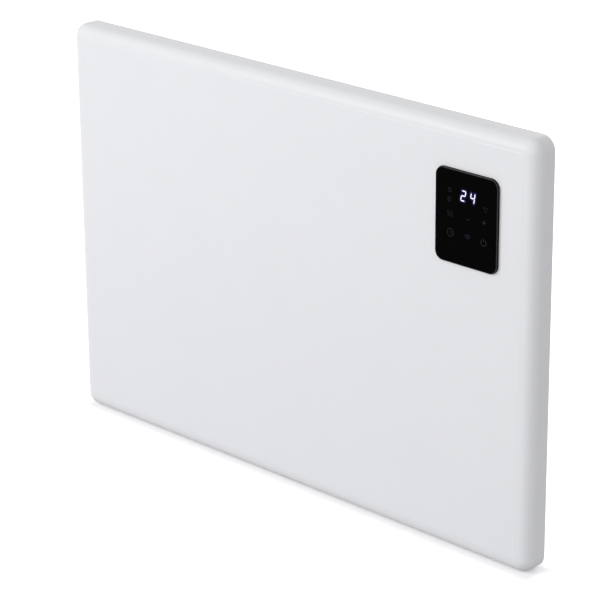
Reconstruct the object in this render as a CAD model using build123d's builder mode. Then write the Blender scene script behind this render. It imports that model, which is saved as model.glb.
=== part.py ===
from build123d import *
import os
from math import atan2, cos, degrees, hypot, radians, sin

# Flat electric wall radiator. A pressed front panel with a touch control covers a convector box, and the box
# hangs on a pressed wall bracket by two hooks and two quarter-turn locks.
# Frame: the origin is on the wall, behind the middle of the panel. X runs to the right seen from the room,
# -Y into the room and Z up. A name with out_ is a distance from the wall. All sizes are in millimetres.

os.makedirs("parts", exist_ok=True)

# Clearances
slip = 0.3            # between pieces that are put together by hand
hole_play = 0.1       # round a screw or bush in its hole, on the radius
pivot_play = 0.05     # round a turning pin, on the radius
small_round = 0.5     # broken edge of a small moulded or turned piece

# Front panel
panel_w = 630.0
panel_h = 430.0
panel_depth = 28.0
panel_sheet = 1.2
panel_corner = 14.5   # radius of the outline's corners
panel_edge = 13.0     # radius of the bend from the face to the sides
panel_lip = 15.0      # width of the rim folded in at the back
rib_w = 22.0          # hat ribs bonded behind the face
rib_foot = 7.0
rib_rise = 8.0
rib_sheet = 0.8
rib_end_gap = 34.0
rib_spots = (-205.0, -60.0, 85.0)

# Rear box
box_side_inset = 52.0
box_top_inset = 22.0
box_depth = 42.0
box_sheet = 0.8
box_corner = 12.0
box_edge = 5.0
brim_inset = 3.0
dish_w = 170.0        # flat area pressed in at the middle of the back
dish_h = 150.0
dish_depth = 3.0
dish_corner = 14.0
dish_bend = 1.8
slot_w = 5.0          # air slots in the top and bottom walls
slot_len = 26.0
slot_pitch = 9.5
slot_end_gap = 16.0

# Screws
rim_screw_inset = 9.0
rim_screw_pitch_x = 150.0
rim_screws_wide = 4
rim_screw_pitch_z = 130.0
rim_screws_high = 3
screw_r = 1.65
screw_len = 5.0
screw_head_r = 3.4
screw_head_h = 2.1
recess_w = 0.8
recess_share = 0.5    # depth of the driver recess as a share of the head
crown_share = 0.55    # rounding of the head as a share of its height

# Wall bracket, hooks and locks
wall_gap = 18.0       # from the wall to the back of the box
bracket_sheet = 1.5
rail_len = 350.0
rail_z = 112.0        # height of both rails above and below the middle
rail_web_h = 30.0
rail_foot_h = 11.0
rail_rise = 9.0       # from the wall to the front of a rail's web
bracket_bend = 0.7
stile_x = 96.0
stile_w = 32.0
wall_hole_r = 3.0
wall_hole_z = 62.0
hook_x = 150.0
hook_w = 22.0
hook_lip_h = 8.0
hook_lip_gap = 0.8    # from the inner face of the box to the lip
hook_window_h = 12.0
hook_slot_play = 1.0
sleeve_t = 0.6
sleeve_len = 5.0
lift = 10.0           # travel that frees the box from the hooks
lock_x = 150.0
lock_pin_r = 4.0
lock_rivet_r = 6.5
lock_rivet_h = 1.4
lock_knob_r = 9.0
lock_knob_h = 4.0
lock_knob_round = 0.8
lock_lever_len = 30.0
lock_lever_w = 8.0
lock_tee_len = 18.0
lock_tee_w = 7.0
lock_tee_h = 2.2
lock_play = 0.5       # round the pin in the box's slot
buffer_r = 8.0
buffer_side = 36.0    # from the side of the box to a buffer
buffer_bottom = 40.0
buffer_neck_r = 3.0
buffer_head_r = 4.6
buffer_head_h = 2.4
buffer_taper = 4.0
buffer_head_taper = 20.0

# Touch control
glass_w = 76.0
glass_h = 92.0
glass_t = 1.6
glass_corner = 9.3
glass_bevel = 0.4
glass_side = 41.0     # from the right edge of the panel to the glass
glass_top = 44.0
glass_step = 0.25     # the frame stands this far outside the glass
frame_t = 1.0
gasket_t = 0.4
gasket_inset = 1.2
collar_side = 5.0     # from the edge of the glass in to the collar, at the sides
collar_end = 7.0      # and at the top and bottom
collar_wall = 2.0
collar_depth = 12.0
collar_corner = 4.0
snap_w = 8.0
snap_rise = 1.4
snap_depth = 2.6
guide_gap = 0.7       # from the light guide to the posts beside it
guide_end = 6.0       # from the ends of the board in to the guide
guide_depth = 5.0
guide_corner = 2.0
key_inset = 4.0       # from the side of the guide to the outer touch keys
key_pitch_z = 18.0
key_row_z = -9.0      # middle of the two rows, from the middle of the glass
spring_r = 2.5
spring_wire = 0.7
spring_hole_r = 2.9
digits_top = 8.4      # from the top of the guide to the middle of the digits
digits_w = 23.0
digits_h = 14.0
digits_depth = 4.2
board_gap = 1.0       # between board and collar
board_t = 1.6
board_corner = 2.0
case_corner = 1.0     # of the small cases on both boards
post_inset = 3.0      # from the edges of the board to the posts
post_r = 2.8
control_screw_r = 1.15
control_head_r = 2.3
control_head_h = 1.5
cap_t = 2.0
cap_lip_h = 4.0
cap_lip_t = 1.5
cap_port_w = 15.0     # opening for the control's lead
cap_port_h = 8.0
cap_port_inset = 9.0  # from the lower end of the board
control_thread_len = 3.0
radio_w = 16.0
radio_h = 24.0
radio_x = 15.0
radio_z = -6.0
radio_can_drop = 2.6
radio_can_t = 2.2
buzzer_r = 4.6
buzzer_h = 5.4
buzzer_port_r = 0.9
buzzer_port_h = 1.8
buzzer_x = -15.0
buzzer_z = -12.0

# Mains switch in the right side wall
switch_z = -118.0
switch_len = 19.0
switch_wide = 13.0
switch_deep = 14.0
switch_flange = 1.5
switch_flange_t = 2.0
switch_wall = 1.5
rocker_tilt = 12.0
rocker_half = 6.0
rocker_pin_r = 1.2
rocker_reach = 7.0    # from the pivot to the tips of the rocker
rocker_dip = 1.2
rocker_keel = 3.6
rocker_keel_half = 2.5
rocker_flank = 0.5
pivot_in = 4.5        # from the front of the switch's flange to the pivot
spade_len = 8.0
spade_w = 6.3
spade_t = 0.8
spade_z = 5.0

# Inlet for the cord
gland_side = 38.0     # from the right side of the box
gland_bore_r = 3.6
gland_thread_r = 6.0
gland_flange_r = 9.0
gland_flange_h = 4.0
gland_nut_r = 9.0
gland_nut_h = 4.0
gland_inside = 8.0

# Air duct and heating element
duct_side = 23.0      # from the left side of the box
duct_sheet = 0.6
duct_front_gap = 3.0  # from the plane of the panel's lip
duct_h = 330.0
duct_tab_w = 20.0
duct_tab_len = 12.0
duct_tab_pitch = 55.0
element_z = -108.0
element_out = 20.0    # from the back wall of the box to the rod and its leads
element_end_gap = 42.0
fin_half_z = 25.0
fin_half_y = 13.0
fin_t = 1.4
fin_core_r = 7.0
fin_slot_len = 9.0
fin_slot_w = 2.4
fin_slot_pitch = 14.0
rod_r = 4.0
rod_overhang = 22.0
bush_r = 7.5
bush_lip_r = 9.5
bush_lip_t = 2.5
bush_len = 9.0
holder_w = 44.0
holder_sheet = 1.0
holder_foot = 14.0
holder_corner = 3.0
holder_reach = 13.0   # from the rod to the front edge of its holder
stud_r = 2.0
stud_len = 9.0
ring_w = 2.4
ring_t = 0.9
barrel_r = 1.6
barrel_len = 6.0
cutout_r = 8.0
cutout_h = 7.0
cutout_z = 88.0
lug_w = 3.2
lug_len = 4.0
fuse_z = 116.0
fuse_r = 2.0
fuse_len = 16.0
fuse_strap_t = 0.6
fuse_strap_w = 5.4
grommet_r = 6.0
grommet_bore_r = 3.6
grommet_lip = 1.6
grommet_lip_r = 7.6
grommet_z = -140.0
lead_offset = 1.7     # of each element lead from the middle of the grommet

# Electronics
tray_gap = 5.0        # from the duct to the tray
tray_side = 27.0      # from the tray to the right side of the box
tray_w = 60.0
tray_h = 146.0
tray_z = -22.0
tray_base = 2.0
tray_wall = 1.5
tray_rim = 9.0
tray_corner = 3.4
standoff_h = 6.0
standoff_r = 3.4
standoff_inset = 7.0
power_inset = 3.0     # from the outside of the tray to the board's edge
power_t = 1.6
relay_w = 15.4
relay_h = 19.2
relay_rise = 15.6
relay_pitch = 26.0
relay_z = 24.0
core_w = 30.0
core_h = 20.0
core_rise = 14.0
coil_w = 20.0
coil_h = 6.0
coil_rise = 4.6
coil_z = -8.0
input_z = -40.0
capacitor_x = 13.0
capacitor_w = 18.0
capacitor_h = 8.0
capacitor_rise = 13.0
glass_fuse_r = 3.2
glass_fuse_len = 21.0
header_pitch = 9.0
block_w = 27.0
block_h = 16.0
block_deep = 14.0
block_side = 12.0     # the block's middle is this far left of the tray's
block_z = 24.0        # above the bottom wall of the box
pole_pitch = 8.4
pole_out = 9.0        # from the back wall of the box to the poles
pole_screw_r = 2.2
pole_screw_h = 2.6
pole_slot_w = 0.4
earth_z = 46.0        # above the bottom wall of the box
earth_side = 6.0      # right of the tray's middle
earth_screw_len = 8.0
earth_washer_r = 4.5
earth_washer_t = 0.8
earth_nut_r = 3.6
earth_nut_h = 2.6
lead_r = 1.1
lead_bend = 5.0
lead_start = 13.0     # straight run of a lead as it leaves a terminal
cable_r = 2.0
sensor_x_gap = 16.0   # from the duct to the room sensor
sensor_forward = 9.0
sensor_r = 2.2
sensor_len = 16.0
sensor_tip = 1.7
sensor_drop = 4.0
sensor_clip_w = 10.0
sensor_clip_h = 6.0
sensor_clip_wall = 1.2

# Planes and places that follow from the sizes above
out_box = wall_gap
out_panel = out_box + box_depth
out_face = out_panel + panel_depth
in_box = out_box + box_sheet
in_face = out_face - panel_sheet
box_w = panel_w - 2 * box_side_inset
box_h = panel_h - 2 * box_top_inset
box_in_w = box_w - 2 * box_sheet
box_in_h = box_h - 2 * box_sheet
box_floor = -box_h / 2
box_mid_out = (out_box + out_panel) / 2
collar_w = glass_w - 2 * collar_side
collar_h = glass_h - 2 * collar_end
glass_x = panel_w / 2 - glass_side - glass_w / 2
glass_z = panel_h / 2 - glass_top - glass_h / 2
out_frame = out_face + gasket_t
out_glass = out_frame + frame_t
out_board = out_glass - guide_depth
out_collar = out_face - collar_depth
duct_left = -box_w / 2 + duct_side
duct_front = out_panel - duct_front_gap
tray_x = box_w / 2 - tray_w / 2 - tray_side
duct_right = tray_x - tray_w / 2 - tray_gap


def facing(out, x=0.0, z=0.0):
    """A sketch plane parallel to the wall, out from it. Its extrusions go towards the room."""
    return Plane(origin=(x, -out, z), x_dir=(1, 0, 0), z_dir=(0, -1, 0))


def level(z, x=0.0, out=0.0):
    """A level sketch plane at height z. Its extrusions go up."""
    return Plane(origin=(x, -out, z), x_dir=(1, 0, 0), z_dir=(0, 0, 1))


def sideways(x, out=0.0, z=0.0):
    """An upright sketch plane across X, with its own x out from the wall and y up. Extrusions go to -X."""
    return Plane(origin=(x, -out, z), x_dir=(0, -1, 0), z_dir=(-1, 0, 0))


def pan_screws(name, out_seat, spots, length, radii=(screw_r, screw_head_r), head_h=screw_head_h, side=1):
    """One pan-head screw at each spot, its head seated at out_seat. The shanks point into the room, or to the
    wall where side is -1."""
    shank_r, head_r = radii
    seat = facing(out_seat)
    crown_y = side * head_h - out_seat
    with BuildPart() as screws:
        with BuildSketch(seat):
            with Locations(*spots):
                Circle(head_r)
        extrude(amount=-side * head_h)
        crowns = screws.faces().filter_by_position(Axis.Y, crown_y - hole_play, crown_y + hole_play)
        fillet([edge for face in crowns for edge in face.edges()], head_h * crown_share)
        with BuildSketch(facing(-crown_y)):
            with Locations(*spots):
                Rectangle(head_r, recess_w)
                Rectangle(recess_w, head_r)
        extrude(amount=side * head_h * recess_share, mode=Mode.SUBTRACT)
        with BuildSketch(seat):
            with Locations(*spots):
                Circle(shank_r)
        extrude(amount=side * length)
    screws.part.label = name
    export_step(screws.part, f"parts/{name}.step")


# Front panel: one pressed sheet with a soft bend round the face and a rim folded in at the back
rim_spots = [
    (rim_screw_pitch_x * (i - (rim_screws_wide - 1) / 2), side * (panel_h / 2 - rim_screw_inset))
    for i in range(rim_screws_wide) for side in (-1, 1)
] + [
    (side * (panel_w / 2 - rim_screw_inset), rim_screw_pitch_z * (i - (rim_screws_high - 1) / 2))
    for i in range(rim_screws_high) for side in (-1, 1)
]

with BuildPart() as front_shell:
    with BuildSketch(facing(out_panel)):
        RectangleRounded(panel_w, panel_h, panel_corner)
    extrude(amount=panel_depth)
    fillet(front_shell.faces().sort_by(Axis.Y)[0].edges(), panel_edge)
    offset(amount=-panel_sheet, openings=front_shell.faces().sort_by(Axis.Y)[-1])
    with BuildSketch(facing(out_panel)):
        RectangleRounded(panel_w, panel_h, panel_corner)
        Rectangle(panel_w - 2 * panel_lip, panel_h - 2 * panel_lip, mode=Mode.SUBTRACT)
    extrude(amount=panel_sheet)
    with BuildSketch(facing(out_panel)):
        with Locations(*rim_spots):
            Circle(screw_r + hole_play)
    extrude(amount=panel_sheet, mode=Mode.SUBTRACT)
    with BuildSketch(facing(in_face, glass_x, glass_z)):
        RectangleRounded(collar_w + 2 * slip, collar_h + 2 * slip, collar_corner + slip)
    extrude(amount=panel_sheet, mode=Mode.SUBTRACT)
front_shell.part.label = "front_shell"
export_step(front_shell.part, "parts/front_shell.step")

rib_length = panel_h - 2 * rib_end_gap
with BuildPart() as panel_stiffeners:
    with BuildSketch(level(-rib_length / 2)):
        for x in rib_spots:
            with Locations((x, -in_face + rib_rise / 2)):
                Rectangle(rib_w, rib_rise)
            with Locations((x, -in_face + (rib_rise - rib_sheet) / 2)):
                Rectangle(rib_w - 2 * rib_sheet, rib_rise - rib_sheet, mode=Mode.SUBTRACT)
            with Locations((x, -in_face + rib_sheet / 2)):
                with GridLocations(rib_w + rib_foot, 0, 2, 1):
                    Rectangle(rib_foot, rib_sheet)
    extrude(amount=rib_length)
panel_stiffeners.part.label = "panel_stiffeners"
export_step(panel_stiffeners.part, "parts/panel_stiffeners.step")

# Rear box: a drawn steel hat whose brim is screwed on the panel's rim
out_tee = in_box + slip
hook_top = rail_z
hook_slot_h = lift + bracket_sheet + 2 * sleeve_t + 2 * slip + hook_slot_play
hook_slot_mid = hook_top + sleeve_t + slip - hook_slot_h / 2
lock_slot_h = lock_tee_len + lift + 3 * lock_play
lock_slot_mid = -rail_z + lock_pin_r + 2 * lock_play - lock_slot_h / 2
slot_count = int((duct_right - duct_left - 2 * slot_end_gap) / slot_pitch)
slot_mid_x = (duct_left + duct_right) / 2
gland_x = box_w / 2 - gland_side
buffer_spots = [(side * (box_w / 2 - buffer_side), box_floor + buffer_bottom) for side in (-1, 1)]
duct_tab_spots = [(x, duct_tab_pitch * i) for i in (-1, 0, 1)
                  for x in (duct_left + duct_tab_len / 2, duct_right - duct_tab_len / 2)]
holder_xs = (duct_left + element_end_gap, duct_right - element_end_gap)
holder_feet = [(holder_xs[0] + holder_foot / 2, element_z), (holder_xs[1] - holder_foot / 2, element_z)]
holder_spots = [(x, z + side * holder_w / 4) for x, z in holder_feet for side in (-1, 1)]
tray_spots = [(tray_x, tray_z + side * tray_h / 4) for side in (-1, 1)]
block_x = tray_x - block_side
block_mid_z = box_floor + block_z
box_spots = duct_tab_spots + holder_spots + tray_spots + [(block_x, block_mid_z)]
earth_spot = (tray_x + earth_side, box_floor + earth_z)
sensor_x = duct_right + sensor_x_gap

with BuildPart() as rear_cover:
    with BuildSketch(facing(out_box)):
        RectangleRounded(box_w, box_h, box_corner)
    extrude(amount=box_depth)
    fillet(rear_cover.faces().sort_by(Axis.Y)[-1].edges(), box_edge)
    with BuildSketch(facing(out_box)):
        RectangleRounded(dish_w, dish_h, dish_corner)
    extrude(amount=dish_depth, mode=Mode.SUBTRACT)
    dish_rim = rear_cover.faces().filter_by(Axis.Y).sort_by(Axis.Y)[-1].inner_wires().edges()
    fillet(dish_rim, dish_bend)
    offset(amount=-box_sheet, openings=rear_cover.faces().sort_by(Axis.Y)[0])
    with BuildSketch(facing(out_panel - box_sheet)):
        RectangleRounded(panel_w - 2 * brim_inset, panel_h - 2 * brim_inset, panel_corner - brim_inset)
        RectangleRounded(box_in_w, box_in_h, box_corner - box_sheet, mode=Mode.SUBTRACT)
    extrude(amount=box_sheet)
    with BuildSketch(facing(out_panel - box_sheet)):
        with Locations(*rim_spots):
            Circle(screw_r + hole_play)
    extrude(amount=box_sheet, mode=Mode.SUBTRACT)
    for wall_z in (box_floor, box_h / 2 - box_sheet):
        with BuildSketch(level(wall_z, slot_mid_x, box_mid_out)):
            with GridLocations(slot_pitch, 0, slot_count, 1):
                SlotOverall(slot_len, slot_w, rotation=90)
        extrude(amount=box_sheet, mode=Mode.SUBTRACT)
    with BuildSketch(facing(out_box)):
        with Locations(*box_spots, earth_spot):
            Circle(screw_r + hole_play)
        with Locations(*buffer_spots):
            Circle(buffer_neck_r + hole_play)
        with Locations(*[(side * hook_x, hook_slot_mid) for side in (-1, 1)]):
            Rectangle(hook_w + 2 * sleeve_t + 4 * slip, hook_slot_h)
        with Locations(*[(side * lock_x, lock_slot_mid) for side in (-1, 1)]):
            SlotOverall(lock_slot_h, 2 * (lock_pin_r + lock_play), rotation=90)
    extrude(amount=box_sheet, mode=Mode.SUBTRACT)
    with BuildSketch(sideways(box_w / 2, box_mid_out, switch_z)):
        Rectangle(switch_wide + 2 * hole_play, switch_len + 2 * hole_play)
    extrude(amount=box_sheet, mode=Mode.SUBTRACT)
    with BuildSketch(level(box_floor)):
        with Locations((gland_x, -box_mid_out)):
            Circle(gland_thread_r + hole_play)
        with Locations((sensor_x, -(in_box + element_out + sensor_forward))):
            Circle(sensor_r + sensor_clip_wall + hole_play)
    extrude(amount=box_sheet, mode=Mode.SUBTRACT)
rear_cover.part.label = "rear_cover"
export_step(rear_cover.part, "parts/rear_cover.step")

pan_screws("rim_screws", out_panel - box_sheet, rim_spots, screw_len)
pan_screws("box_screws", out_box, box_spots, screw_len)
pan_screws("earth_screw", out_box, [earth_spot], earth_screw_len)

with BuildPart() as earth_nut:
    with BuildSketch(facing(in_box, *earth_spot)):
        Circle(earth_washer_r)
    extrude(amount=earth_washer_t)
    with BuildSketch(facing(in_box + earth_washer_t, *earth_spot)):
        RegularPolygon(earth_nut_r, 6)
    extrude(amount=earth_nut_h)
    with BuildSketch(facing(in_box, *earth_spot)):
        Circle(screw_r + hole_play)
    extrude(amount=earth_washer_t + earth_nut_h, mode=Mode.SUBTRACT)
earth_nut.part.label = "earth_nut"
export_step(earth_nut.part, "parts/earth_nut.step")

# Rubber buffers plugged into the back, which keep the lower edge off the wall
with BuildPart() as wall_buffers:
    with BuildSketch(facing(0)):
        with Locations(*buffer_spots):
            Circle(buffer_r)
    extrude(amount=out_box, taper=-buffer_taper)
    with BuildSketch(facing(out_box)):
        with Locations(*buffer_spots):
            Circle(buffer_neck_r)
    extrude(amount=box_sheet)
    with BuildSketch(facing(in_box)):
        with Locations(*buffer_spots):
            Circle(buffer_head_r)
    extrude(amount=buffer_head_h, taper=buffer_head_taper)
wall_buffers.part.label = "wall_buffers"
export_step(wall_buffers.part, "parts/wall_buffers.step")

# Wall bracket: two hat-section rails joined by two flat stiles, with a hook near each end of the top rail
web_back = rail_rise - bracket_sheet
lip_out = in_box + hook_lip_gap
hook_xs = (-hook_x, hook_x)
lock_xs = (-lock_x, lock_x)

with BuildPart() as wall_bracket:
    for rail_mid in (-rail_z, rail_z):
        with BuildSketch(sideways(rail_len / 2, 0, rail_mid)) as hat:
            with Locations((rail_rise - bracket_sheet / 2, 0)):
                Rectangle(bracket_sheet, rail_web_h)
            for side in (-1, 1):
                with Locations((rail_rise / 2, side * (rail_web_h - bracket_sheet) / 2)):
                    Rectangle(rail_rise, bracket_sheet)
                with Locations((bracket_sheet / 2, side * (rail_web_h + rail_foot_h) / 2)):
                    Rectangle(bracket_sheet, rail_foot_h)
            fillet(hat.vertices(), bracket_bend)
        extrude(amount=rail_len)
    with BuildSketch(facing(0)):
        with GridLocations(2 * stile_x, 0, 2, 1):
            Rectangle(stile_w, 2 * rail_z - rail_web_h - rail_foot_h)
    extrude(amount=bracket_sheet)
    with BuildSketch(facing(0)):
        with GridLocations(2 * stile_x, 2 * wall_hole_z, 2, 2):
            Circle(wall_hole_r)
    extrude(amount=bracket_sheet, mode=Mode.SUBTRACT)
    with BuildSketch(facing(web_back)):
        for x in hook_xs:
            with Locations((x, hook_top + hook_window_h / 2)):
                Rectangle(hook_w, hook_window_h)
        for x in lock_xs:
            with Locations((x, -rail_z)):
                Circle(lock_pin_r + pivot_play)
    extrude(amount=bracket_sheet, mode=Mode.SUBTRACT)
    for x in hook_xs:
        with BuildSketch(sideways(x + hook_w / 2, 0, hook_top)):
            with Locations(((web_back + lip_out + bracket_sheet) / 2, -bracket_sheet / 2)):
                Rectangle(lip_out + bracket_sheet - web_back, bracket_sheet)
            with Locations((lip_out + bracket_sheet / 2, (hook_lip_h - bracket_sheet) / 2)):
                Rectangle(bracket_sheet, hook_lip_h + bracket_sheet)
        extrude(amount=hook_w)
wall_bracket.part.label = "wall_bracket"
export_step(wall_bracket.part, "parts/wall_bracket.step")

with BuildPart() as hook_sleeves:
    for x in hook_xs:
        with BuildSketch(facing(lip_out - sleeve_len, x, hook_top - bracket_sheet / 2)):
            Rectangle(hook_w + 2 * sleeve_t, bracket_sheet + 2 * sleeve_t)
            Rectangle(hook_w, bracket_sheet, mode=Mode.SUBTRACT)
        extrude(amount=sleeve_len)
hook_sleeves.part.label = "hook_sleeves"
export_step(hook_sleeves.part, "parts/hook_sleeves.step")

# Quarter-turn locks: a pin riveted in the lower rail, a knob with a lever, and a tee behind the box's slot.
# They are drawn locked, with the tee across the slot and the lever pointing outwards.
out_knob = rail_rise + slip
out_rivet = web_back - slip - lock_rivet_h
for name, x, outward in (("lock_left", -lock_x, -1), ("lock_right", lock_x, 1)):
    with BuildPart() as lock:
        with BuildSketch(facing(out_rivet, x, -rail_z)):
            Circle(lock_rivet_r)
        extrude(amount=lock_rivet_h)
        with BuildSketch(facing(out_rivet, x, -rail_z)):
            Circle(lock_pin_r)
        extrude(amount=out_tee - out_rivet)
        with BuildSketch(facing(out_knob, x, -rail_z)):
            Circle(lock_knob_r)
            with Locations((outward * lock_lever_len / 2, 0)):
                SlotOverall(lock_lever_len, lock_lever_w)
        extrude(amount=lock_knob_h)
        knob_rim = lock.edges().filter_by_position(Axis.Y, -out_knob - lock_knob_h, -out_knob)
        fillet(knob_rim.filter_by(Axis.Y, reverse=True).group_by(Axis.Y)[0], lock_knob_round)
        with BuildSketch(facing(out_tee, x, -rail_z)):
            SlotOverall(lock_tee_len, lock_tee_w)
        extrude(amount=lock_tee_h)
    lock.part.label = name
    export_step(lock.part, f"parts/{name}.step")

# Touch control: glass on a moulded frame whose collar snaps into the panel. The keys stand in three columns and
# two rows, each with a contact spring behind it.
collar_in_w = collar_w - 2 * collar_wall
collar_in_h = collar_h - 2 * collar_wall
board_w = collar_in_w - 2 * board_gap
board_h = collar_in_h - 2 * board_gap
post_x = board_w / 2 - post_inset
post_z = board_h / 2 - post_inset
guide_w = 2 * (post_x - post_r - guide_gap)
guide_h = board_h - 2 * guide_end
digits_z = guide_h / 2 - digits_top
key_pitch_x = guide_w / 2 - key_inset
cap_port_z = cap_port_inset - board_h / 2
control_chips = (     # x, z, width, height and rise of each chip, from the middle of the board
    (-13.0, 8.0, 10.0, 10.0, 1.5),
    (2.0, 12.0, 6.0, 8.0, 1.3),
    (14.0, 16.0, 8.0, 5.0, 1.3),
    (-14.0, 24.0, 5.0, 3.0, 1.8),
    (0.0, cap_port_z, 12.0, 5.0, 5.8),
)
post_spots = [(x, z) for x in (-post_x, post_x) for z in (-post_z, post_z)]
key_grid = [(key_pitch_x * i, key_row_z + key_pitch_z * (j - 0.5)) for i in (-1, 0, 1) for j in (0, 1)]

with BuildPart() as touch_glass:
    with BuildSketch(facing(out_glass, glass_x, glass_z)):
        RectangleRounded(glass_w - 2 * glass_step, glass_h - 2 * glass_step, glass_corner - glass_step)
    extrude(amount=glass_t)
    chamfer(touch_glass.faces().sort_by(Axis.Y)[0].edges(), glass_bevel)
touch_glass.part.label = "touch_glass"
export_step(touch_glass.part, "parts/touch_glass.step")

with BuildPart() as control_bezel:
    with BuildSketch(facing(out_frame, glass_x, glass_z)):
        RectangleRounded(glass_w, glass_h, glass_corner)
        Rectangle(guide_w + 2 * slip, guide_h + 2 * slip, mode=Mode.SUBTRACT)
    extrude(amount=frame_t)
    with BuildSketch(facing(out_collar, glass_x, glass_z)):
        RectangleRounded(collar_w, collar_h, collar_corner)
        RectangleRounded(collar_in_w, collar_in_h, collar_corner - collar_wall, mode=Mode.SUBTRACT)
    extrude(amount=out_frame - out_collar)
    with BuildSketch(facing(out_board, glass_x, glass_z)):
        with Locations(*post_spots):
            Circle(post_r)
    extrude(amount=out_frame - out_board)
    with BuildSketch(facing(out_board, glass_x, glass_z)):
        with Locations(*post_spots):
            Circle(control_screw_r + hole_play)
    extrude(amount=control_thread_len + slip, mode=Mode.SUBTRACT)
    with BuildSketch(facing(in_face - slip - snap_depth, glass_x, glass_z)):
        with GridLocations(collar_w + snap_rise, collar_h / 2, 2, 2):
            Rectangle(snap_rise, snap_w)
        with GridLocations(0, collar_h + snap_rise, 1, 2):
            Rectangle(snap_w, snap_rise)
    extrude(amount=snap_depth)
control_bezel.part.label = "control_bezel"
export_step(control_bezel.part, "parts/control_bezel.step")

with BuildPart() as control_gasket:
    with BuildSketch(facing(out_face, glass_x, glass_z)):
        RectangleRounded(glass_w - 2 * gasket_inset, glass_h - 2 * gasket_inset, glass_corner - gasket_inset)
        RectangleRounded(collar_w + 2 * slip, collar_h + 2 * slip, collar_corner + slip, mode=Mode.SUBTRACT)
    extrude(amount=gasket_t)
control_gasket.part.label = "control_gasket"
export_step(control_gasket.part, "parts/control_gasket.step")

with BuildPart() as light_guide:
    with BuildSketch(facing(out_board, glass_x, glass_z)):
        RectangleRounded(guide_w, guide_h, guide_corner)
        with Locations(*key_grid):
            Circle(spring_hole_r, mode=Mode.SUBTRACT)
        with Locations((0, digits_z)):
            Rectangle(digits_w + 2 * slip, digits_h + 2 * slip, mode=Mode.SUBTRACT)
    extrude(amount=guide_depth)
light_guide.part.label = "light_guide"
export_step(light_guide.part, "parts/light_guide.step")

with BuildPart() as digit_display:
    with BuildSketch(facing(out_board, glass_x, glass_z + digits_z)):
        Rectangle(digits_w, digits_h)
    extrude(amount=digits_depth)
    chamfer(digit_display.faces().sort_by(Axis.Y)[0].edges(), glass_bevel)
digit_display.part.label = "digit_display"
export_step(digit_display.part, "parts/digit_display.step")

with BuildPart() as touch_springs:
    with BuildSketch(facing(out_board, glass_x, glass_z)):
        with Locations(*key_grid):
            Circle(spring_r)
            Circle(spring_r - spring_wire, mode=Mode.SUBTRACT)
    extrude(amount=guide_depth)
touch_springs.part.label = "touch_springs"
export_step(touch_springs.part, "parts/touch_springs.step")

out_board_back = out_board - board_t
with BuildPart() as display_board:
    with BuildSketch(facing(out_board_back, glass_x, glass_z)):
        RectangleRounded(board_w, board_h, board_corner)
        with Locations(*post_spots):
            Circle(control_screw_r + hole_play, mode=Mode.SUBTRACT)
    extrude(amount=board_t)
display_board.part.label = "display_board"
export_step(display_board.part, "parts/display_board.step")

with BuildPart() as display_chips:
    for x, z, wide, tall, rise in control_chips:
        with BuildSketch(facing(out_board_back, glass_x + x, glass_z + z)):
            Rectangle(wide, tall)
        extrude(amount=-rise)
display_chips.part.label = "display_chips"
export_step(display_chips.part, "parts/display_chips.step")

out_radio_can = out_board_back - board_t / 2
with BuildPart() as radio_module:
    with BuildSketch(facing(out_board_back, glass_x + radio_x, glass_z + radio_z)):
        Rectangle(radio_w, radio_h)
    extrude(amount=-board_t / 2)
    with BuildSketch(facing(out_radio_can, glass_x + radio_x, glass_z + radio_z - radio_can_drop)):
        RectangleRounded(radio_w - 2 * slip, radio_h - 2 * radio_can_drop, case_corner)
    extrude(amount=-radio_can_t)
radio_module.part.label = "radio_module"
export_step(radio_module.part, "parts/radio_module.step")

with BuildPart() as buzzer:
    with BuildSketch(facing(out_board_back, glass_x + buzzer_x, glass_z + buzzer_z)):
        Circle(buzzer_r)
    extrude(amount=-buzzer_h)
    with BuildSketch(facing(out_board_back - buzzer_h, glass_x + buzzer_x, glass_z + buzzer_z)):
        Circle(buzzer_port_r)
    extrude(amount=buzzer_port_h, mode=Mode.SUBTRACT)
buzzer.part.label = "buzzer"
export_step(buzzer.part, "parts/buzzer.step")

lip_w = collar_in_w - 2 * slip
lip_h = collar_in_h - 2 * slip
with BuildPart() as control_cap:
    with BuildSketch(facing(out_collar - cap_t, glass_x, glass_z)):
        RectangleRounded(collar_w, collar_h, collar_corner)
    extrude(amount=cap_t)
    with BuildSketch(facing(out_collar, glass_x, glass_z)):
        RectangleRounded(lip_w, lip_h, collar_corner - collar_wall)
        Rectangle(lip_w - 2 * cap_lip_t, lip_h - 2 * cap_lip_t, mode=Mode.SUBTRACT)
    extrude(amount=cap_lip_h)
    with BuildSketch(facing(out_collar, glass_x, glass_z)):
        with Locations(*post_spots):
            Circle(post_r)
    extrude(amount=out_board_back - out_collar)
    with BuildSketch(facing(out_collar - cap_t, glass_x, glass_z)):
        with Locations(*post_spots):
            Circle(control_screw_r + hole_play)
    extrude(amount=out_board_back - out_collar + cap_t, mode=Mode.SUBTRACT)
    with BuildSketch(facing(out_collar - cap_t, glass_x, glass_z + cap_port_z)):
        RectangleRounded(cap_port_w, cap_port_h, guide_corner)
    extrude(amount=cap_t, mode=Mode.SUBTRACT)
control_cap.part.label = "control_cap"
export_step(control_cap.part, "parts/control_cap.step")

pan_screws("control_screws", out_collar - cap_t, [(glass_x + x, glass_z + z) for x, z in post_spots],
           out_board - out_collar + cap_t + control_thread_len,
           (control_screw_r, control_head_r), control_head_h)

# Mains switch in the right side wall, drawn switched on with its upper half pressed in
switch_front = box_w / 2 + switch_flange_t
pivot_x = switch_front - pivot_in
well_w = switch_wide - 2 * switch_wall
well_len = switch_len - 2 * switch_wall
well_deep = pivot_in + rocker_keel + rocker_keel_half
rocker_w = well_w - 2 * slip
rocker_t = radians(rocker_tilt)

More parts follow.
